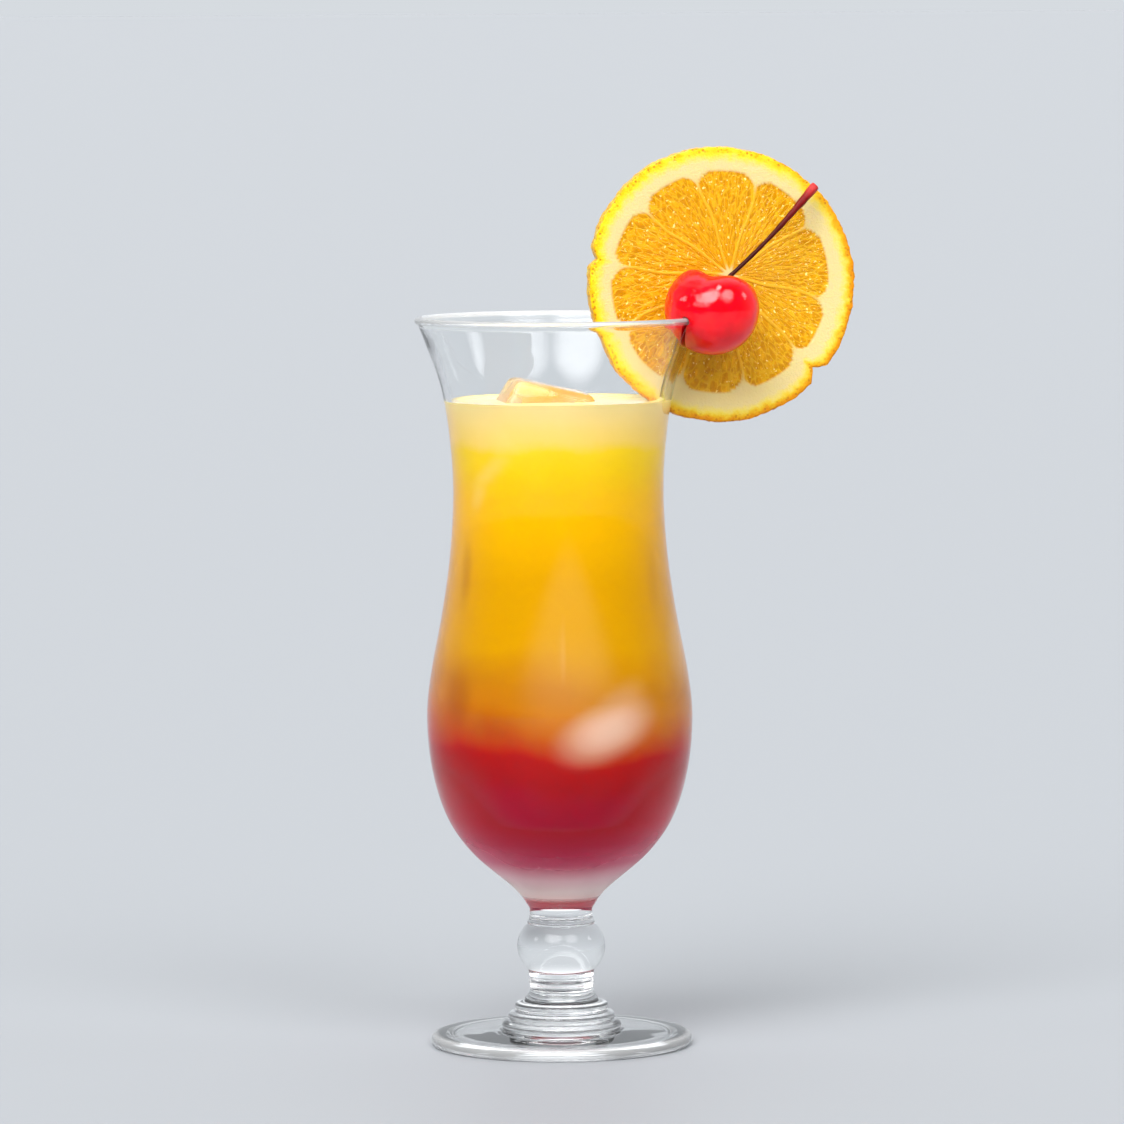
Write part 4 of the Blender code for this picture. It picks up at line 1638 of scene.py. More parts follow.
@dataclass
class Drink:
    """The layered drink, filled into the glass up to its level. Sizes are in metres.

    The meniscus is where it climbs the glass, and the wetting where it climbs the ice. The dip,
    the wave and the stir move its layers up or down from place to place.
    """

    glass: HurricaneGlass
    ice: IceCube
    level: float = 0.1805
    syrup_top: float = 0.0853
    dip_depth: float = 0.0052
    dip_place: Point = (0.0070, -0.0300)
    dip_width: float = 0.0120
    wave_height: float = 0.9 * MM
    wave_grain: float = 11 * MM
    wave_spread: float = 0.014
    stir_depth: float = 0.0032
    stir_height: float = 0.098
    stir_spread: float = 0.016
    stir_reach: float = 0.033
    # The drink reaches just into the glass and the ice, so that no air gap shows.
    into_wall: float = 0.00012
    meniscus: float = 0.0009
    meniscus_reach: float = 0.0009
    wetting: float = 0.7 * MM
    wetting_reach: float = 0.8 * MM
    ice_overlap: float = 0.00012
    below_brim: float = 0.3 * MM
    lifted_skin: float = 0.05 * MM
    open_skin: float = 0.2 * MM
    top_rings: int = 58
    crowding: float = 1.25
    segments: int = 192
    sunk_ice_and_highlights: list[SunkIceAndHighlight] = field(
        default_factory=lambda: [
            SunkIceAndHighlight(-67.5, 0.0918, 0.0190, 0.0100, 22.0, 0.90, core=0.1, squareness=2.2),
            SunkIceAndHighlight(-61.0, 0.0985, 0.0120, 0.0075, 20.0, 0.28),
            # The next two are painted highlights: a pale wedge and a narrow streak down the front,
            # where light glints on the wet glass.
            SunkIceAndHighlight(-85.0, 0.1180, 0.0130, 0.0300, 0.0, 0.13, taper=0.8, core=0.35),
            SunkIceAndHighlight(-88.5, 0.1140, 0.0019, 0.0180, 0.0, 0.30, core=0.0),
            SunkIceAndHighlight(-132.0, 0.1625, 0.0125, 0.0036, 38.0, 0.34),
            SunkIceAndHighlight(-141.0, 0.1560, 0.0070, 0.0036, 62.0, 0.30),
            SunkIceAndHighlight(-149.0, 0.1340, 0.0035, 0.0130, 4.0, 0.35, Tone.DARK),
            SunkIceAndHighlight(-31.0, 0.1310, 0.0035, 0.0140, -5.0, 0.15, Tone.DARK),
            SunkIceAndHighlight(-143.0, 0.1000, 0.0075, 0.0110, 12.0, 0.45, Tone.DARK),
            SunkIceAndHighlight(-120.0, 0.0930, 0.0120, 0.0050, 0.0, 0.20, Tone.DARK),
            SunkIceAndHighlight(-12.0, 0.1120, 0.0100, 0.0120, -18.0, 0.28),
            SunkIceAndHighlight(28.0, 0.1450, 0.0090, 0.0110, 24.0, 0.30),
            SunkIceAndHighlight(70.0, 0.1010, 0.0125, 0.0110, -30.0, 0.60),
            SunkIceAndHighlight(96.0, 0.1280, 0.0035, 0.0150, 6.0, 0.30, Tone.DARK),
            SunkIceAndHighlight(128.0, 0.1520, 0.0110, 0.0095, 15.0, 0.32),
            SunkIceAndHighlight(171.0, 0.1080, 0.0105, 0.0120, -14.0, 0.34),
        ]
    )

    def outline(self) -> list[Point]:
        """Gives the drink's half section, from the bottom up the wall and in over its top.

        Returns:
            The outline's points, as radius and height in metres.
        """
        wall = moved_sideways(self.glass.inside(), -self.into_wall)
        brim = self.level + self.meniscus
        side = [(0.0, wall[0][1])] + [p for p in wall[1:] if p[1] < brim - self.below_brim]
        edge = self.glass.radius_inside(brim, self.into_wall)
        top = []
        for k in range(self.top_rings):
            radius = edge * (1.0 - (k / self.top_rings) ** self.crowding)
            rise = self.meniscus * math.exp(-(edge - radius) / self.meniscus_reach)
            top.append((radius, self.level + rise))
        return side + top + [(0.0, self.level)]

    def lift_at_ice(self, drink: Piece) -> None:
        """Draws the surface up a little where it wets the ice.

        Args:
            drink: the drink.
        """
        where = places(drink)
        on_top = where[:, 2] > self.level - self.lifted_skin
        away = np.maximum(self.ice.outside_by(where), 0.0)
        rise = self.wetting * np.exp(-away / self.wetting_reach)
        where[:, 2] += np.where(on_top, rise, 0.0)
        set_places(drink, where)

    def colour_height(self, where: np.ndarray) -> np.ndarray:
        """Gives the height in millimetres that each place takes its layer's colour from.

        Args:
            where: places in metres, one row each.

        Returns:
            One height for each place.
        """
        dip = self.dip_depth * bell(where[:, 0] - self.dip_place[0], self.dip_width)
        dip = dip * bell(where[:, 1] - self.dip_place[1], self.dip_width)
        near_syrup = bell(where[:, 2] - self.syrup_top, self.wave_spread)
        wave = self.wave_height * grain(where * np.array([1.0, 1.0, 0.3]), self.wave_grain)
        swirl = np.clip(where[:, 0] / self.stir_reach, -1.0, 1.0)
        swirl = swirl * bell(where[:, 2] - self.stir_height, self.stir_spread)
        return (where[:, 2] + (dip + wave) * near_syrup + self.stir_depth * swirl) / MM

    def build(self) -> Piece:
        """Makes the drink and dresses it.

        Returns:
            The dressed drink.
        """
        drink = turned("layered_drink", self.outline(), self.segments)
        self.lift_at_ice(drink)
        carve(drink, [self.ice.block("ice_hollow", -self.ice_overlap)])
        where = places(drink)
        store(drink, "layer_height", self.colour_height(where))
        for tone in Tone:
            faces = [ice.mask(where) for ice in self.sunk_ice_and_highlights if ice.tone is tone]
            store(drink, tone.value, np.max(faces, axis=0))
        dress(
            drink,
            LayeredDrink(Contact.GLASS).build(),
            ["grenadine", "orange_juice", "pale_juice"],
        )
        drink.data.materials.append(LayeredDrink(Contact.AIR).build())
        for face in drink.data.polygons:
            face.material_index = int(face.center.z > self.level - self.open_skin)
        return drink


@dataclass
class OrangeWheel:
    """A slice of orange, slit to its core and pushed onto the rim.

    Sizes are in metres. The segments are from one angle to another about the core, and each nick
    in the peel is an angle, a half width and a depth, all angles being in degrees.
    """

    glass: HurricaneGlass
    azimuth: float = math.radians(11.0)
    centre: Point = (0.0465, 0.2129)
    radius: float = 0.0383
    thickness: float = 0.0050
    # The peel isn't quite round: depth, count and shift of its lobes, and a finer waver.
    lobes: tuple[Triple, ...] = ((0.0004, 2, -2.4), (0.0003, 3, 0.9))
    waver: float = 0.00016
    core: Point = (0.0022, 0.0026)
    core_radius: float = 0.0016
    flesh_radius: float = 0.0314
    flesh_shift: Point = (-0.0005, 0.0006)
    flesh_border: Point = (-0.05 * MM, 0.35 * MM)
    shoulder_drop: float = 0.12
    shoulder_power: float = 4.4
    outer_skin: Point = (0.80, 0.97)
    core_skin: Point = (0.05, 0.12)
    face_border: Point = (1.3 * MM, 0.8 * MM)
    membrane: float = 0.00038
    membrane_wander: float = 1.6
    wander_step: float = 0.0036
    edge_rounding: float = 0.0006
    gap: float = 0.0003
    # The knife cut, a little lopsided so that none of its edges meets another.
    slit: float = 0.0005
    slit_skew: float = 1.07
    seat_depth: float = 0.0005
    # Relief of the cut face: the flesh lies lower than the pith, and its sacs stand up in it.
    relief_border: Point = (-0.05 * MM, 0.45 * MM)
    sunk_flesh: float = -0.24 * MM
    sac_relief: float = 0.12 * MM
    sac_length: float = 4.6 * MM
    sacs_round: int = 76
    sac_stretch: float = 1.15
    groove: float = 0.42
    belly_relief: float = 0.12 * MM
    belly_span: Point = (0.4 * MM, 2.5 * MM)
    # Small bumps of the zest, worn down a little, and the direction in which the zest turns deeper
    # gold, towards the lower right.
    zest_bump: float = 0.38 * MM
    zest_grain: float = 1.5 * MM
    zest_worn: float = 0.08 * MM
    zest_depth: float = 0.0035
    lower_right_direction: Point = (0.75, -0.66)
    lower_right_span: Point = (-22 * MM, 26 * MM)
    # How fine the mesh is, and how the border that is seen from the core is searched for.
    steps_round: int = 540
    flesh_rings: int = 46
    pith_rings: int = 12
    edge_bands: int = 8
    edge_powers: Point = (0.35, 0.8)
    search_steps: int = 60
    search_share: float = 0.7
    segments: tuple[Point, ...] = (
        (-15.0, 32.5),
        (32.5, 72.5),
        (72.5, 108.0),
        (108.0, 143.5),
        (143.5, 176.5),
        (176.5, 205.0),
        (205.0, 242.0),
        (242.0, 276.0),
        (276.0, 311.0),
        (311.0, 345.0),
    )
    nicks: tuple[Triple, ...] = ((168.0, 4.5, 0.0019), (317.5, 5.5, 0.0030))

    def peel_radius(self, turn: np.ndarray) -> np.ndarray:
        """Gives the outer radius about the wheel's centre.

        Args:
            turn: angles in radians.

        Returns:
            The radius at each angle, in metres.
        """
        wave = sum(depth * np.sin(count * turn + shift) for depth, count, shift in self.lobes)
        wave = wave + self.waver * np.sin(17 * turn) * np.sin(5 * turn + 1.0)
        radius = self.radius + wave
        for place, half_width, depth in self.nicks:
            away = np.abs((np.degrees(turn) - place + 180.0) % 360.0 - 180.0) / half_width
            radius = radius - depth * np.clip(1.0 - away, 0.0, 1.0) ** 1.3
        return radius

    def flesh_edge(self, turn: np.ndarray) -> np.ndarray:
        """Gives how far the flesh reaches from the wheel's centre at each angle, in metres."""
        across, up = self.flesh_shift
        return self.flesh_radius + up * np.sin(turn) + across * np.cos(turn)

    def reach(self, turn: np.ndarray, edge: Callable[[np.ndarray], np.ndarray]) -> np.ndarray:
        """Gives the distance from the core to a border that is known about the centre.

        Args:
            turn: angles about the core, in radians.
            edge: the border's radius about the wheel's centre.

        Returns:
            The distance at each angle, in metres.
        """
        along = np.stack([np.cos(turn), np.sin(turn)], axis=-1)
        far = np.zeros_like(turn)
        for _ in range(self.search_steps):
            point = np.array(self.core) + along * far[..., None]
            border = edge(np.arctan2(point[..., 1], point[..., 0]))
            short_of = border - np.hypot(point[..., 0], point[..., 1])
            far = far + self.search_share * short_of
        return far

    def to_world(self, local: np.ndarray) -> np.ndarray:
        """Turns places across, deep and up about the wheel's centre into world places.

        Args:
            local: places in metres, one row each.

        Returns:
            The places, one row each.
        """
        cos, sin = math.cos(self.azimuth), math.sin(self.azimuth)
        across = local[:, 0] + self.centre[0]
        x = across * cos - local[:, 1] * sin
        y = across * sin + local[:, 1] * cos
        return np.stack([x, y, local[:, 2] + self.centre[1]], axis=1)

    def to_local(self, world: np.ndarray) -> np.ndarray:
        """Turns world places into places across, deep and up about the wheel's centre.

        Args:
            world: places in metres, one row each.

        Returns:
            The places, one row each.
        """
        cos, sin = math.cos(self.azimuth), math.sin(self.azimuth)
        across = world[:, 0] * cos + world[:, 1] * sin - self.centre[0]
        deep = world[:, 1] * cos - world[:, 0] * sin
        return np.stack([across, deep, world[:, 2] - self.centre[1]], axis=1)

    def flesh_depth(self, across: np.ndarray, up: np.ndarray) -> np.ndarray:
        """Gives how far inside its segment each place of the cut face lies.

        Args:
            across: places across from the wheel's centre, in metres.
            up: places up from the wheel's centre, in metres.

        Returns:
            The distance to the segment's nearest border, negative in pith and membrane.
        """
        from_core = np.hypot(across - self.core[0], up - self.core[1])
        turn = np.arctan2(up - self.core[1], across - self.core[0])
        wander = self.membrane_wander * np.sin(from_core / self.wander_step + 2 * turn)
        angle = np.degrees(turn) + wander
        outer = self.reach(turn, self.flesh_edge)
        inside = np.full_like(from_core, -1.0)
        for start, end in self.segments:
            middle, half = (start + end) / 2, (end - start) / 2
            away = (angle - middle + 180.0) % 360.0 - 180.0
            side = from_core * np.sin(np.radians(np.clip(half - np.abs(away), -90.0, 90.0)))
            share = np.clip(np.abs(away) / half, 0.0, 1.2)
            rim = outer * (1.0 - self.shoulder_drop * share**self.shoulder_power) - from_core
            depth = np.minimum(side - self.membrane / 2, rim)
            depth = np.minimum(depth, from_core - self.core_radius)
            inside = np.maximum(inside, depth)
        return inside

    def sacs(self, across: np.ndarray, up: np.ndarray, side: int) -> np.ndarray:
        """Gives the relief of the juice sacs, which run out from the core.

        Args:
            across: places across from the wheel's centre, in metres.
            up: places up from the wheel's centre, in metres.
            side: which face, so that the two differ.

        Returns:
            A value from 0 in the grooves to 1 on the sacs' backs.
        """
        turn = np.arctan2(up - self.core[1], across - self.core[0])
        from_core = np.hypot(across - self.core[0], up - self.core[1])
        u = (turn / (2 * math.pi) % 1.0) * self.sacs_round
        v = from_core / self.sac_length
        row, column = np.floor(v), np.floor(u)
        nearest = np.full_like(u, np.inf)
        second = np.full_like(u, np.inf)
        for dr in (-1, 0, 1):
            for dc in (-1, 0, 1):
                r, c = row + dr, column + dc
                jitter_u, jitter_v = (
                    cell_number(c % self.sacs_round, r, side, w) for w in CELL_WEIGHTS
                )
                distance = np.hypot(c + jitter_u - u, (r + jitter_v - v) * self.sac_stretch)
                second = np.minimum(second, np.maximum(distance, nearest))
                nearest = np.minimum(nearest, distance)
        return ramp_between(second - nearest, 0.0, self.groove)

    def face_height(self, across: np.ndarray, up: np.ndarray, side: int) -> np.ndarray:
        """Gives how far the cut face stands out from its plane, in metres.

        Args:
            across: places across from the wheel's centre, in metres.
            up: places up from the wheel's centre, in metres.
            side: which face, -1 for the front and 1 for the back.

        Returns:
            One height for each place.
        """
        inside = self.flesh_depth(across, up)
        flesh = ramp_between(inside, *self.relief_border)
        relief = self.sunk_flesh + self.sac_relief * self.sacs(across, up, side)
        relief = relief + self.belly_relief * ramp_between(inside, *self.belly_span)
        return flesh * relief

    def build_disc(self) -> Piece:
        """Makes the whole slice, before it is slit.

        Returns:
            The slice, not yet dressed.
        """
        turn = np.arange(self.steps_round) * 2 * math.pi / self.steps_round
        direction = np.stack([np.cos(turn), np.sin(turn)], axis=1)
        flesh = self.reach(turn, self.flesh_edge)
        outer = self.reach(turn, self.peel_radius)
        half = self.thickness / 2
        face = [flesh * k / self.flesh_rings for k in range(1, self.flesh_rings + 1)]
        rim = outer - self.edge_rounding
        rings_out = range(1, self.pith_rings + 1)
        face += [flesh + (rim - flesh) * k / self.pith_rings for k in rings_out]
        rings = []
        for side in (-1, 1):
            layer = []
            for radius in face:
                flat = np.array(self.core) + direction * radius[:, None]
                height = self.face_height(flat[:, 0], flat[:, 1], side)
                layer.append(np.stack([flat[:, 0], side * (half + height), flat[:, 1]], axis=1))
            pole = np.array([[self.core[0], side * half, self.core[1]]])
            layer.insert(0, pole)
            rings.append(layer)
        edge = []
        for k in range(self.edge_bands + 1):
            lean = math.pi * (k / self.edge_bands - 0.5)
            fullness, flatness = self.edge_powers
            swell = self.edge_rounding * (abs(math.cos(lean)) ** fullness)
            deep = math.copysign(abs(math.sin(lean)) ** flatness, lean) * half if k else -half
            flat = np.array(self.core) + direction * (rim + swell)[:, None]
            edge.append(np.stack([flat[:, 0], np.full(len(flat), deep), flat[:, 1]], axis=1))
        stack = rings[0] + edge[1:-1] + list(reversed(rings[1]))
        disc = ring_mesh("orange_wheel_cut", [self.to_world(ring) for ring in stack])
        where = places(disc)
        local = self.to_local(where)
        on_edge = np.abs(local[:, 1]) < half - 0.02 * MM
        far = np.hypot(local[:, 0], local[:, 2]) > self.radius - self.zest_depth
        bumps = self.zest_bump * grain(where, self.zest_grain) - self.zest_worn
        push = np.where(on_edge & far, bumps, 0.0)
        local[:, 0] *= 1.0 + push / self.radius
        local[:, 2] *= 1.0 + push / self.radius
        set_places(disc, self.to_world(local))
        return disc

    def slit_cutter(self) -> Piece:
        """Makes the thin knife cut from the core down to the seat on the rim.

        Returns:
            The cutter.
        """
        seat = Vector((self.glass.rim_radius - self.glass.rim_bead, self.glass.rim_height))
        seat -= Vector(self.centre)
        core = Vector(self.core)
        along = (seat - core).normalized()
        across = Vector((-along.y, along.x)) * self.slit / 2
        low = seat + along * self.seat_depth
        corners = [core - along * self.slit, low + across * self.slit_skew, low - across]
        work = bmesh.new()
        half = self.thickness / 2 + MM
        layers = []
        for deep in (-half, half):
            local = np.array([[c.x, deep, c.y] for c in corners])
            layers.append([work.verts.new(p) for p in self.to_world(local)])
        work.faces.new(layers[0])
        work.faces.new(reversed(layers[1]))
        for k in range(3):
            n = (k + 1) % 3
            work.faces.new((layers[0][k], layers[1][k], layers[1][n], layers[0][n]))
        bmesh.ops.recalc_face_normals(work, faces=work.faces)
        return object_from("knife_cut", work)

    def build(self) -> Piece:
        """Makes the slit wheel and dresses it.

        Returns:
            The dressed wheel.
        """
        wheel = self.build_disc()
        carve(wheel, [self.glass.clearance(self.gap), self.slit_cutter()])
        local = self.to_local(places(wheel))
        across, up = local[:, 0], local[:, 2]
        half = self.thickness / 2
        low, high = (half - border for border in self.face_border)
        on_face = ramp_between(np.abs(local[:, 1]), low, high)
        inside = self.flesh_depth(across, up)
        store(wheel, "flesh", ramp_between(inside, *self.flesh_border))
        faces = [self.sacs(across, up, side) for side in (-1, 1)]
        store(wheel, "sac", np.where(local[:, 1] < 0, *faces))
        turn = np.arctan2(up, across)
        inwards = self.peel_radius(turn) - np.hypot(across, up)
        store(wheel, "edge_mm", np.clip(inwards, 0.0, None) / MM * on_face)
        along_lower_right = self.lower_right_direction[0] * across + self.lower_right_direction[1] * up
        store(wheel, "lower_right_share", ramp_between(along_lower_right, *self.lower_right_span))
        about_core = np.arctan2(up - self.core[1], across - self.core[0])
        share = np.hypot(across - self.core[0], up - self.core[1])
        share = share / self.reach(about_core, self.flesh_edge)
        skins = (1.0 - ramp_between(share, *self.outer_skin)) * ramp_between(
            share, *self.core_skin
        )
        store(wheel, "inner", skins)
        middle = (self.centre[0] + self.core[0], self.centre[1] + self.core[1])
        finish = CutOrange(core=middle, azimuth=self.azimuth).build()
        return dress(wheel, finish, ["orange_wheel"])


@dataclass
class Cherry:
    """A cocktail cherry, slit onto the rim in front of the wheel, with its stalk.

    Sizes are in metres. The skin's depths are shares of its half size, and its widths and places
    are angles in radians from the stalk.
    """

    glass: HurricaneGlass
    wheel: OrangeWheel
    half_size: Triple = (0.0133, 0.0122, 0.0125)
    across: float = 0.0408
    height: float = 0.2062
    lean: Point = (math.radians(-12.0), math.radians(20.0))
    turned_by: float = math.radians(-38.0)
    dimple_depth: float = 0.34
    dimple_width: float = 0.46
    cleft_depth: float = 0.19
    cleft_width: float = 0.34
    cleft_place: float = 0.4
    cleft_reach: float = 0.9
    shoulder_swell: float = 0.03
    shoulder_place: float = 0.85
    shoulder_width: float = 0.5
    # Puckers round the dimple, and dents that are deepest at the front.
    pucker_count: int = 11
    pucker_height: float = 0.05 * MM
    pucker_place: float = 0.55
    pucker_width: float = 0.3
    dent_grains: Point = (3.4 * MM, 1.5 * MM)
    dent_depths: Point = (0.04, 0.18)
    front: Triple = (-0.35, -0.9, 0.25)
    front_width: float = 0.75
    gap: float = 0.0003
    stalk_tip: Triple = (0.0724, -0.0065, 0.2402)
    stalk_base_radius: float = 0.0006
    stalk_tip_radius: float = 0.00135
    stalk_lift: float = 0.0009
    stalk_sag: Triple = (0.0, -0.0014, -0.0012)
    flare_start: float = 0.45
    flare_power: float = 1.6
    unevenness: tuple[Point, ...] = ((0.05, 61.0), (0.04, 23.0))
    rib_count: int = 5
    rib_height: float = 0.05
    rib_twist: float = 4.0
    end_size: float = 0.55
    end_reach: Point = (0.004, 0.001)
    stalk_rings: int = 70
    stalk_sides: int = 20

    def turn(self) -> Matrix:
        """Gives the cherry's place and lean.

        Returns:
            The matrix from the upright fruit to the world.
        """
        about = Matrix.Rotation(self.wheel.azimuth, 4, "Z")
        deep = self.wheel.thickness / 2 + self.gap + self.half_size[1]
        centre = about @ Vector((self.across, -deep, self.height))
        lean = Matrix.Rotation(self.lean[1], 4, "Y") @ Matrix.Rotation(self.lean[0], 4, "X")
        turned_by = Matrix.Rotation(self.turned_by, 4, "Z")
        return Matrix.Translation(centre) @ about @ lean @ turned_by

    def skin(self, direction: np.ndarray) -> np.ndarray:
        """Gives the places of the skin about the centre, before the lean, for unit directions.

        Args:
            direction: unit directions from the centre, one row each, with the stalk's up along z.

        Returns:
            The places in metres, one row each.
        """
        from_stalk = np.arccos(np.clip(direction[:, 2], -1.0, 1.0))
        shoulder = bell(from_stalk - self.shoulder_place, self.shoulder_width)
        swell = 1.0 + self.shoulder_swell * shoulder
        swell -= self.dimple_depth * bell(from_stalk, self.dimple_width)
        cleft = bell(direction[:, 0], self.cleft_width)
        swell -= self.cleft_depth * cleft * bell(from_stalk - self.cleft_place, self.cleft_reach)
        return direction * np.array(self.half_size) * swell[:, None]

    def wrinkles(self, direction: np.ndarray) -> np.ndarray:
        """Gives the small puckers round the dimple and in the front of the skin, in metres.

        Args:
            direction: unit directions from the centre, one row each, with the stalk's up along z.

        Returns:
            One height for each direction.
        """
        from_stalk = np.arccos(np.clip(direction[:, 2], -1.0, 1.0))
        around = np.arctan2(direction[:, 1], direction[:, 0])
        pucker = np.sin(self.pucker_count * around + 3 * np.sin(2 * around))
        pucker = pucker * bell(from_stalk - self.pucker_place, self.pucker_width)
        where = direction * self.half_size[2]
        coarse, fine = (grain(where, size) for size in self.dent_grains)
        off_front = np.arccos(np.clip(direction @ np.array(self.front), -1, 1))
        everywhere, at_front = self.dent_depths
        depth = everywhere + at_front * bell(off_front, self.front_width)
        return self.pucker_height * pucker + (coarse + 0.5 * fine) * depth * MM

    def build_fruit(self) -> Piece:
        """Makes the fruit, slotted where the rim goes in.

        Returns:
            The dressed fruit.
        """
        work = bmesh.new()
        bmesh.ops.create_uvsphere(work, u_segments=144, v_segments=96, radius=1.0)
        cherry = object_from("cocktail_cherry", work)
        direction = places(cherry)
        direction /= np.linalg.norm(direction, axis=1)[:, None]
        local = self.skin(direction) + direction * self.wrinkles(direction)[:, None]
        matrix = np.array(self.turn())
        set_places(cherry, local @ matrix[:3, :3].T + matrix[:3, 3])
        carve(cherry, [self.glass.clearance(self.gap)])
        return dress(cherry, CocktailCherry().build(), ["cherry"])

    def build_stalk(self) -> Piece:
        """Makes the stalk, which thickens to a knob where it was picked.

        Returns:
            The dressed stalk.
        """
        matrix = self.turn()
        pit = Vector(self.skin(np.array([[0.0, 0.0, 1.0]]))[0])
        foot = matrix @ (pit + Vector((0.0, 0.0, self.stalk_lift)))
        tip = Matrix.Rotation(self.wheel.azimuth, 4, "Z") @ Vector(self.stalk_tip)
        span = tip - foot
        sag = Vector(self.stalk_sag)
        side = span.cross(Vector((0.0, 1.0, 0.0))).normalized()
        other = span.cross(side).normalized()
        turn = np.arange(self.stalk_sides) * 2 * math.pi / self.stalk_sides
        circle = np.cos(turn)[:, None] * np.array(side) + np.sin(turn)[:, None] * np.array(other)
        rings = [np.array([foot])]
        for k in range(self.stalk_rings + 1):
            share = k / self.stalk_rings
            flare = max(0.0, share - self.flare_start) / (1.0 - self.flare_start)
            radius = self.stalk_base_radius
            radius += (self.stalk_tip_radius - self.stalk_base_radius) * flare**self.flare_power
            radius *= 1.0 + sum(height * math.sin(share * rate) for height, rate in self.unevenness)
            centre = foot + span * share + sag * math.sin(math.pi * share)
            ribs = 1.0 + self.rib_height * np.sin(self.rib_count * turn + share * self.rib_twist)
            rings.append(np.array(centre) + circle * radius * ribs[:, None])
        end = np.array(tip)
        rim, dish = (np.array(span) * share for share in self.end_reach)
        rings.append(end + circle * self.stalk_tip_radius * self.end_size + rim)
        rings.append(np.array([end + dish]))
        stalk = ring_mesh("cherry_stalk_soaked", rings)
        where = places(stalk)
        along = (where - np.array(foot)) @ np.array(span) / span.length_squared
        store(stalk, "along", np.clip(along, 0.0, 1.0))
        return dress(stalk, SoakedStalk().build(), ["cherry_stalk"])


@dataclass(frozen=True)
class SoftSource:
    """A round, soft-edged source far away, so that it lights the whole floor evenly.

    Its place and its inner and outer half widths are in degrees.
    """

    azimuth: float
    elevation: float
    inner: float
    outer: float
    radiance: float

    def add(self, tree: Tree, direction: Socket) -> Socket:
        """Adds the source to the world.

        Args:
            tree: the world's node tree.
            direction: the direction that is looked in.

        Returns:
            The source's light in that direction.
        """
        azimuth, elevation = math.radians(self.azimuth), math.radians(self.elevation)
        aim = (
            math.cos(elevation) * math.cos(azimuth),
            math.cos(elevation) * math.sin(azimuth),
            math.sin(elevation),
        )
        closeness = add_node(
            tree, Node.VECTOR_MATH, {"operation": "DOT_PRODUCT"}, {0: direction, 1: aim}
        )
        light = add_node(tree, Node.RANGE, SMOOTH, {
            "Value": closeness.outputs["Value"],
            "From Min": math.cos(math.radians(self.outer)),
            "From Max": math.cos(math.radians(self.inner)),
            "To Max": self.radiance,
        })
        return light.outputs["Result"]


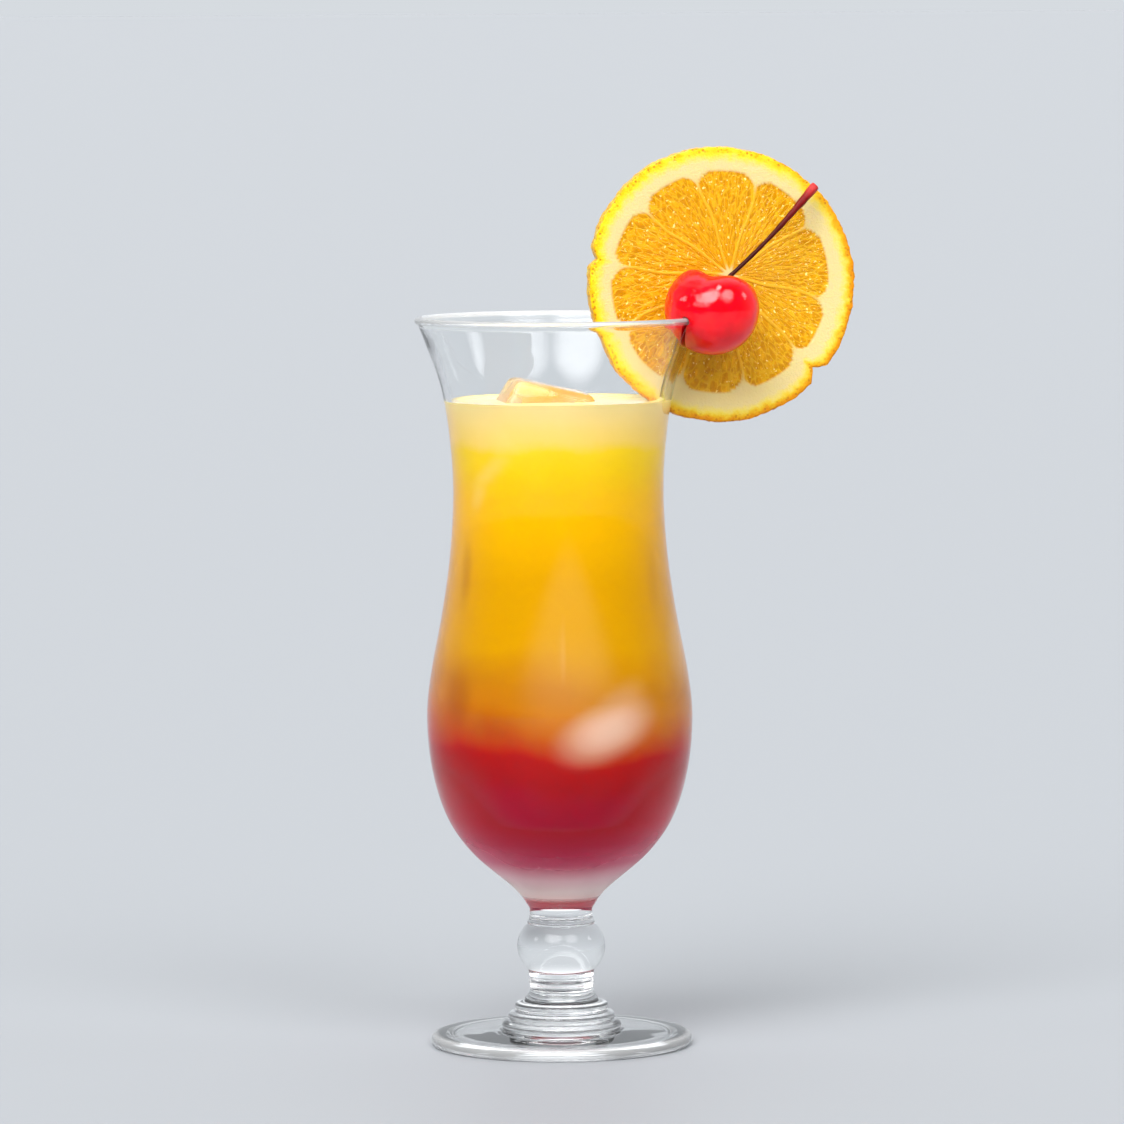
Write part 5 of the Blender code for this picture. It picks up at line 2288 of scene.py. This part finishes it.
@dataclass
class Studio:
    """A plain pale floor, soft studio light and the camera."""

    image_side: float = 1124.0
    focal_pixels: float = 6996.0
    sensor: float = 36.0
    camera_place: Triple = (0.0009, -1.950, 0.290)
    pitch: float = math.radians(4.523)
    roll: float = math.radians(0.36)
    floor_radius: float = 400.0
    # Key from the left, a second from the right, fill from behind, and three small ones whose
    # reflections give the wet skins a crisp point.
    sources: tuple[SoftSource, ...] = (
        SoftSource(-114.0, 44.0, 5.0, 27.0, 11.5),
        SoftSource(-58.0, 40.0, 3.0, 21.0, 7.5),
        SoftSource(90.0, 62.0, 14.0, 50.0, 0.9),
        SoftSource(-97.0, 70.0, 3.0, 8.0, 13.0),
        SoftSource(-168.0, 28.0, 4.0, 9.0, 5.0),
        SoftSource(0.0, 26.0, 3.0, 8.0, 5.0),
    )
    horizon: str = "#D6DBE0"
    dim_side: str = "#5C5F64"
    dim_span: Point = (-0.5, 0.8)

    def floor(self) -> Piece:
        """Makes the floor, a wide plain disc.

        Returns:
            The floor.
        """
        work = bmesh.new()
        bmesh.ops.create_circle(work, cap_ends=True, radius=self.floor_radius, segments=96)
        floor = object_from("floor", work)
        floor.data.materials.append(MattPaint().build())
        return floor

    def sky(self) -> None:
        """Adds the light all round, dim low down on the camera's side, with the soft sources."""
        world = bpy.data.worlds.new("studio")
        bpy.context.scene.world = world
        world.use_nodes = True
        tree = world.node_tree
        tree.nodes.clear()
        direction = add_node(tree, Node.COORDINATES).outputs["Generated"]
        axes = add_node(tree, Node.SEPARATE, links={"Vector": direction})
        depth = add_node(
            tree, Node.RANGE, SMOOTH, {"Value": axes.outputs["Y"], **between(self.dim_span)}
        )
        base = add_node(
            tree,
            Node.RAMP,
            links={"Fac": depth.outputs["Result"]},
            stops=[(0.0, srgb(self.dim_side)), (1.0, srgb(self.horizon))],
        )
        light = base.outputs["Color"]
        for source in self.sources:
            light = add_node(
                tree, Node.VECTOR_MATH, PLUS, {0: light, 1: source.add(tree, direction)}
            ).outputs["Vector"]
        sky = add_node(tree, Node.BACKGROUND, links={"Color": light, "Strength": 1.0})
        add_node(tree, Node.WORLD_OUTPUT, links={"Surface": sky.outputs["Background"]})

    def camera(self) -> Piece:
        """Adds the camera at the photograph's angle.

        Returns:
            The camera.
        """
        data = bpy.data.cameras.new("camera")
        data.sensor_width = self.sensor
        data.lens = self.focal_pixels / self.image_side * self.sensor
        data.clip_end = 2.0 * self.floor_radius
        camera = bpy.data.objects.new("camera", data)
        camera.matrix_world = (
            Matrix.Translation(self.camera_place)
            @ Matrix.Rotation(math.pi / 2 - self.pitch, 4, "X")
            @ Matrix.Rotation(-self.roll, 4, "Z")
        )
        bpy.context.scene.collection.objects.link(camera)
        bpy.context.scene.camera = camera
        return camera

    def build(self) -> None:
        """Makes the floor, the light and the camera."""
        self.floor()
        self.sky()
        self.camera()
        bpy.context.scene.view_settings.view_transform = "Standard"
        log.info("studio: floor, light and camera")


def main() -> None:
    """Builds every piece in order."""
    logging.basicConfig(level=logging.INFO, format="%(name)s: %(message)s")
    glass = HurricaneGlass()
    glass.build()
    ice = IceCube()
    ice.build()
    Drink(glass, ice).build()
    wheel = OrangeWheel(glass)
    wheel.build()
    cherry = Cherry(glass, wheel)
    cherry.build_fruit()
    cherry.build_stalk()
    Studio().build()


if __name__ == "__main__":
    main()
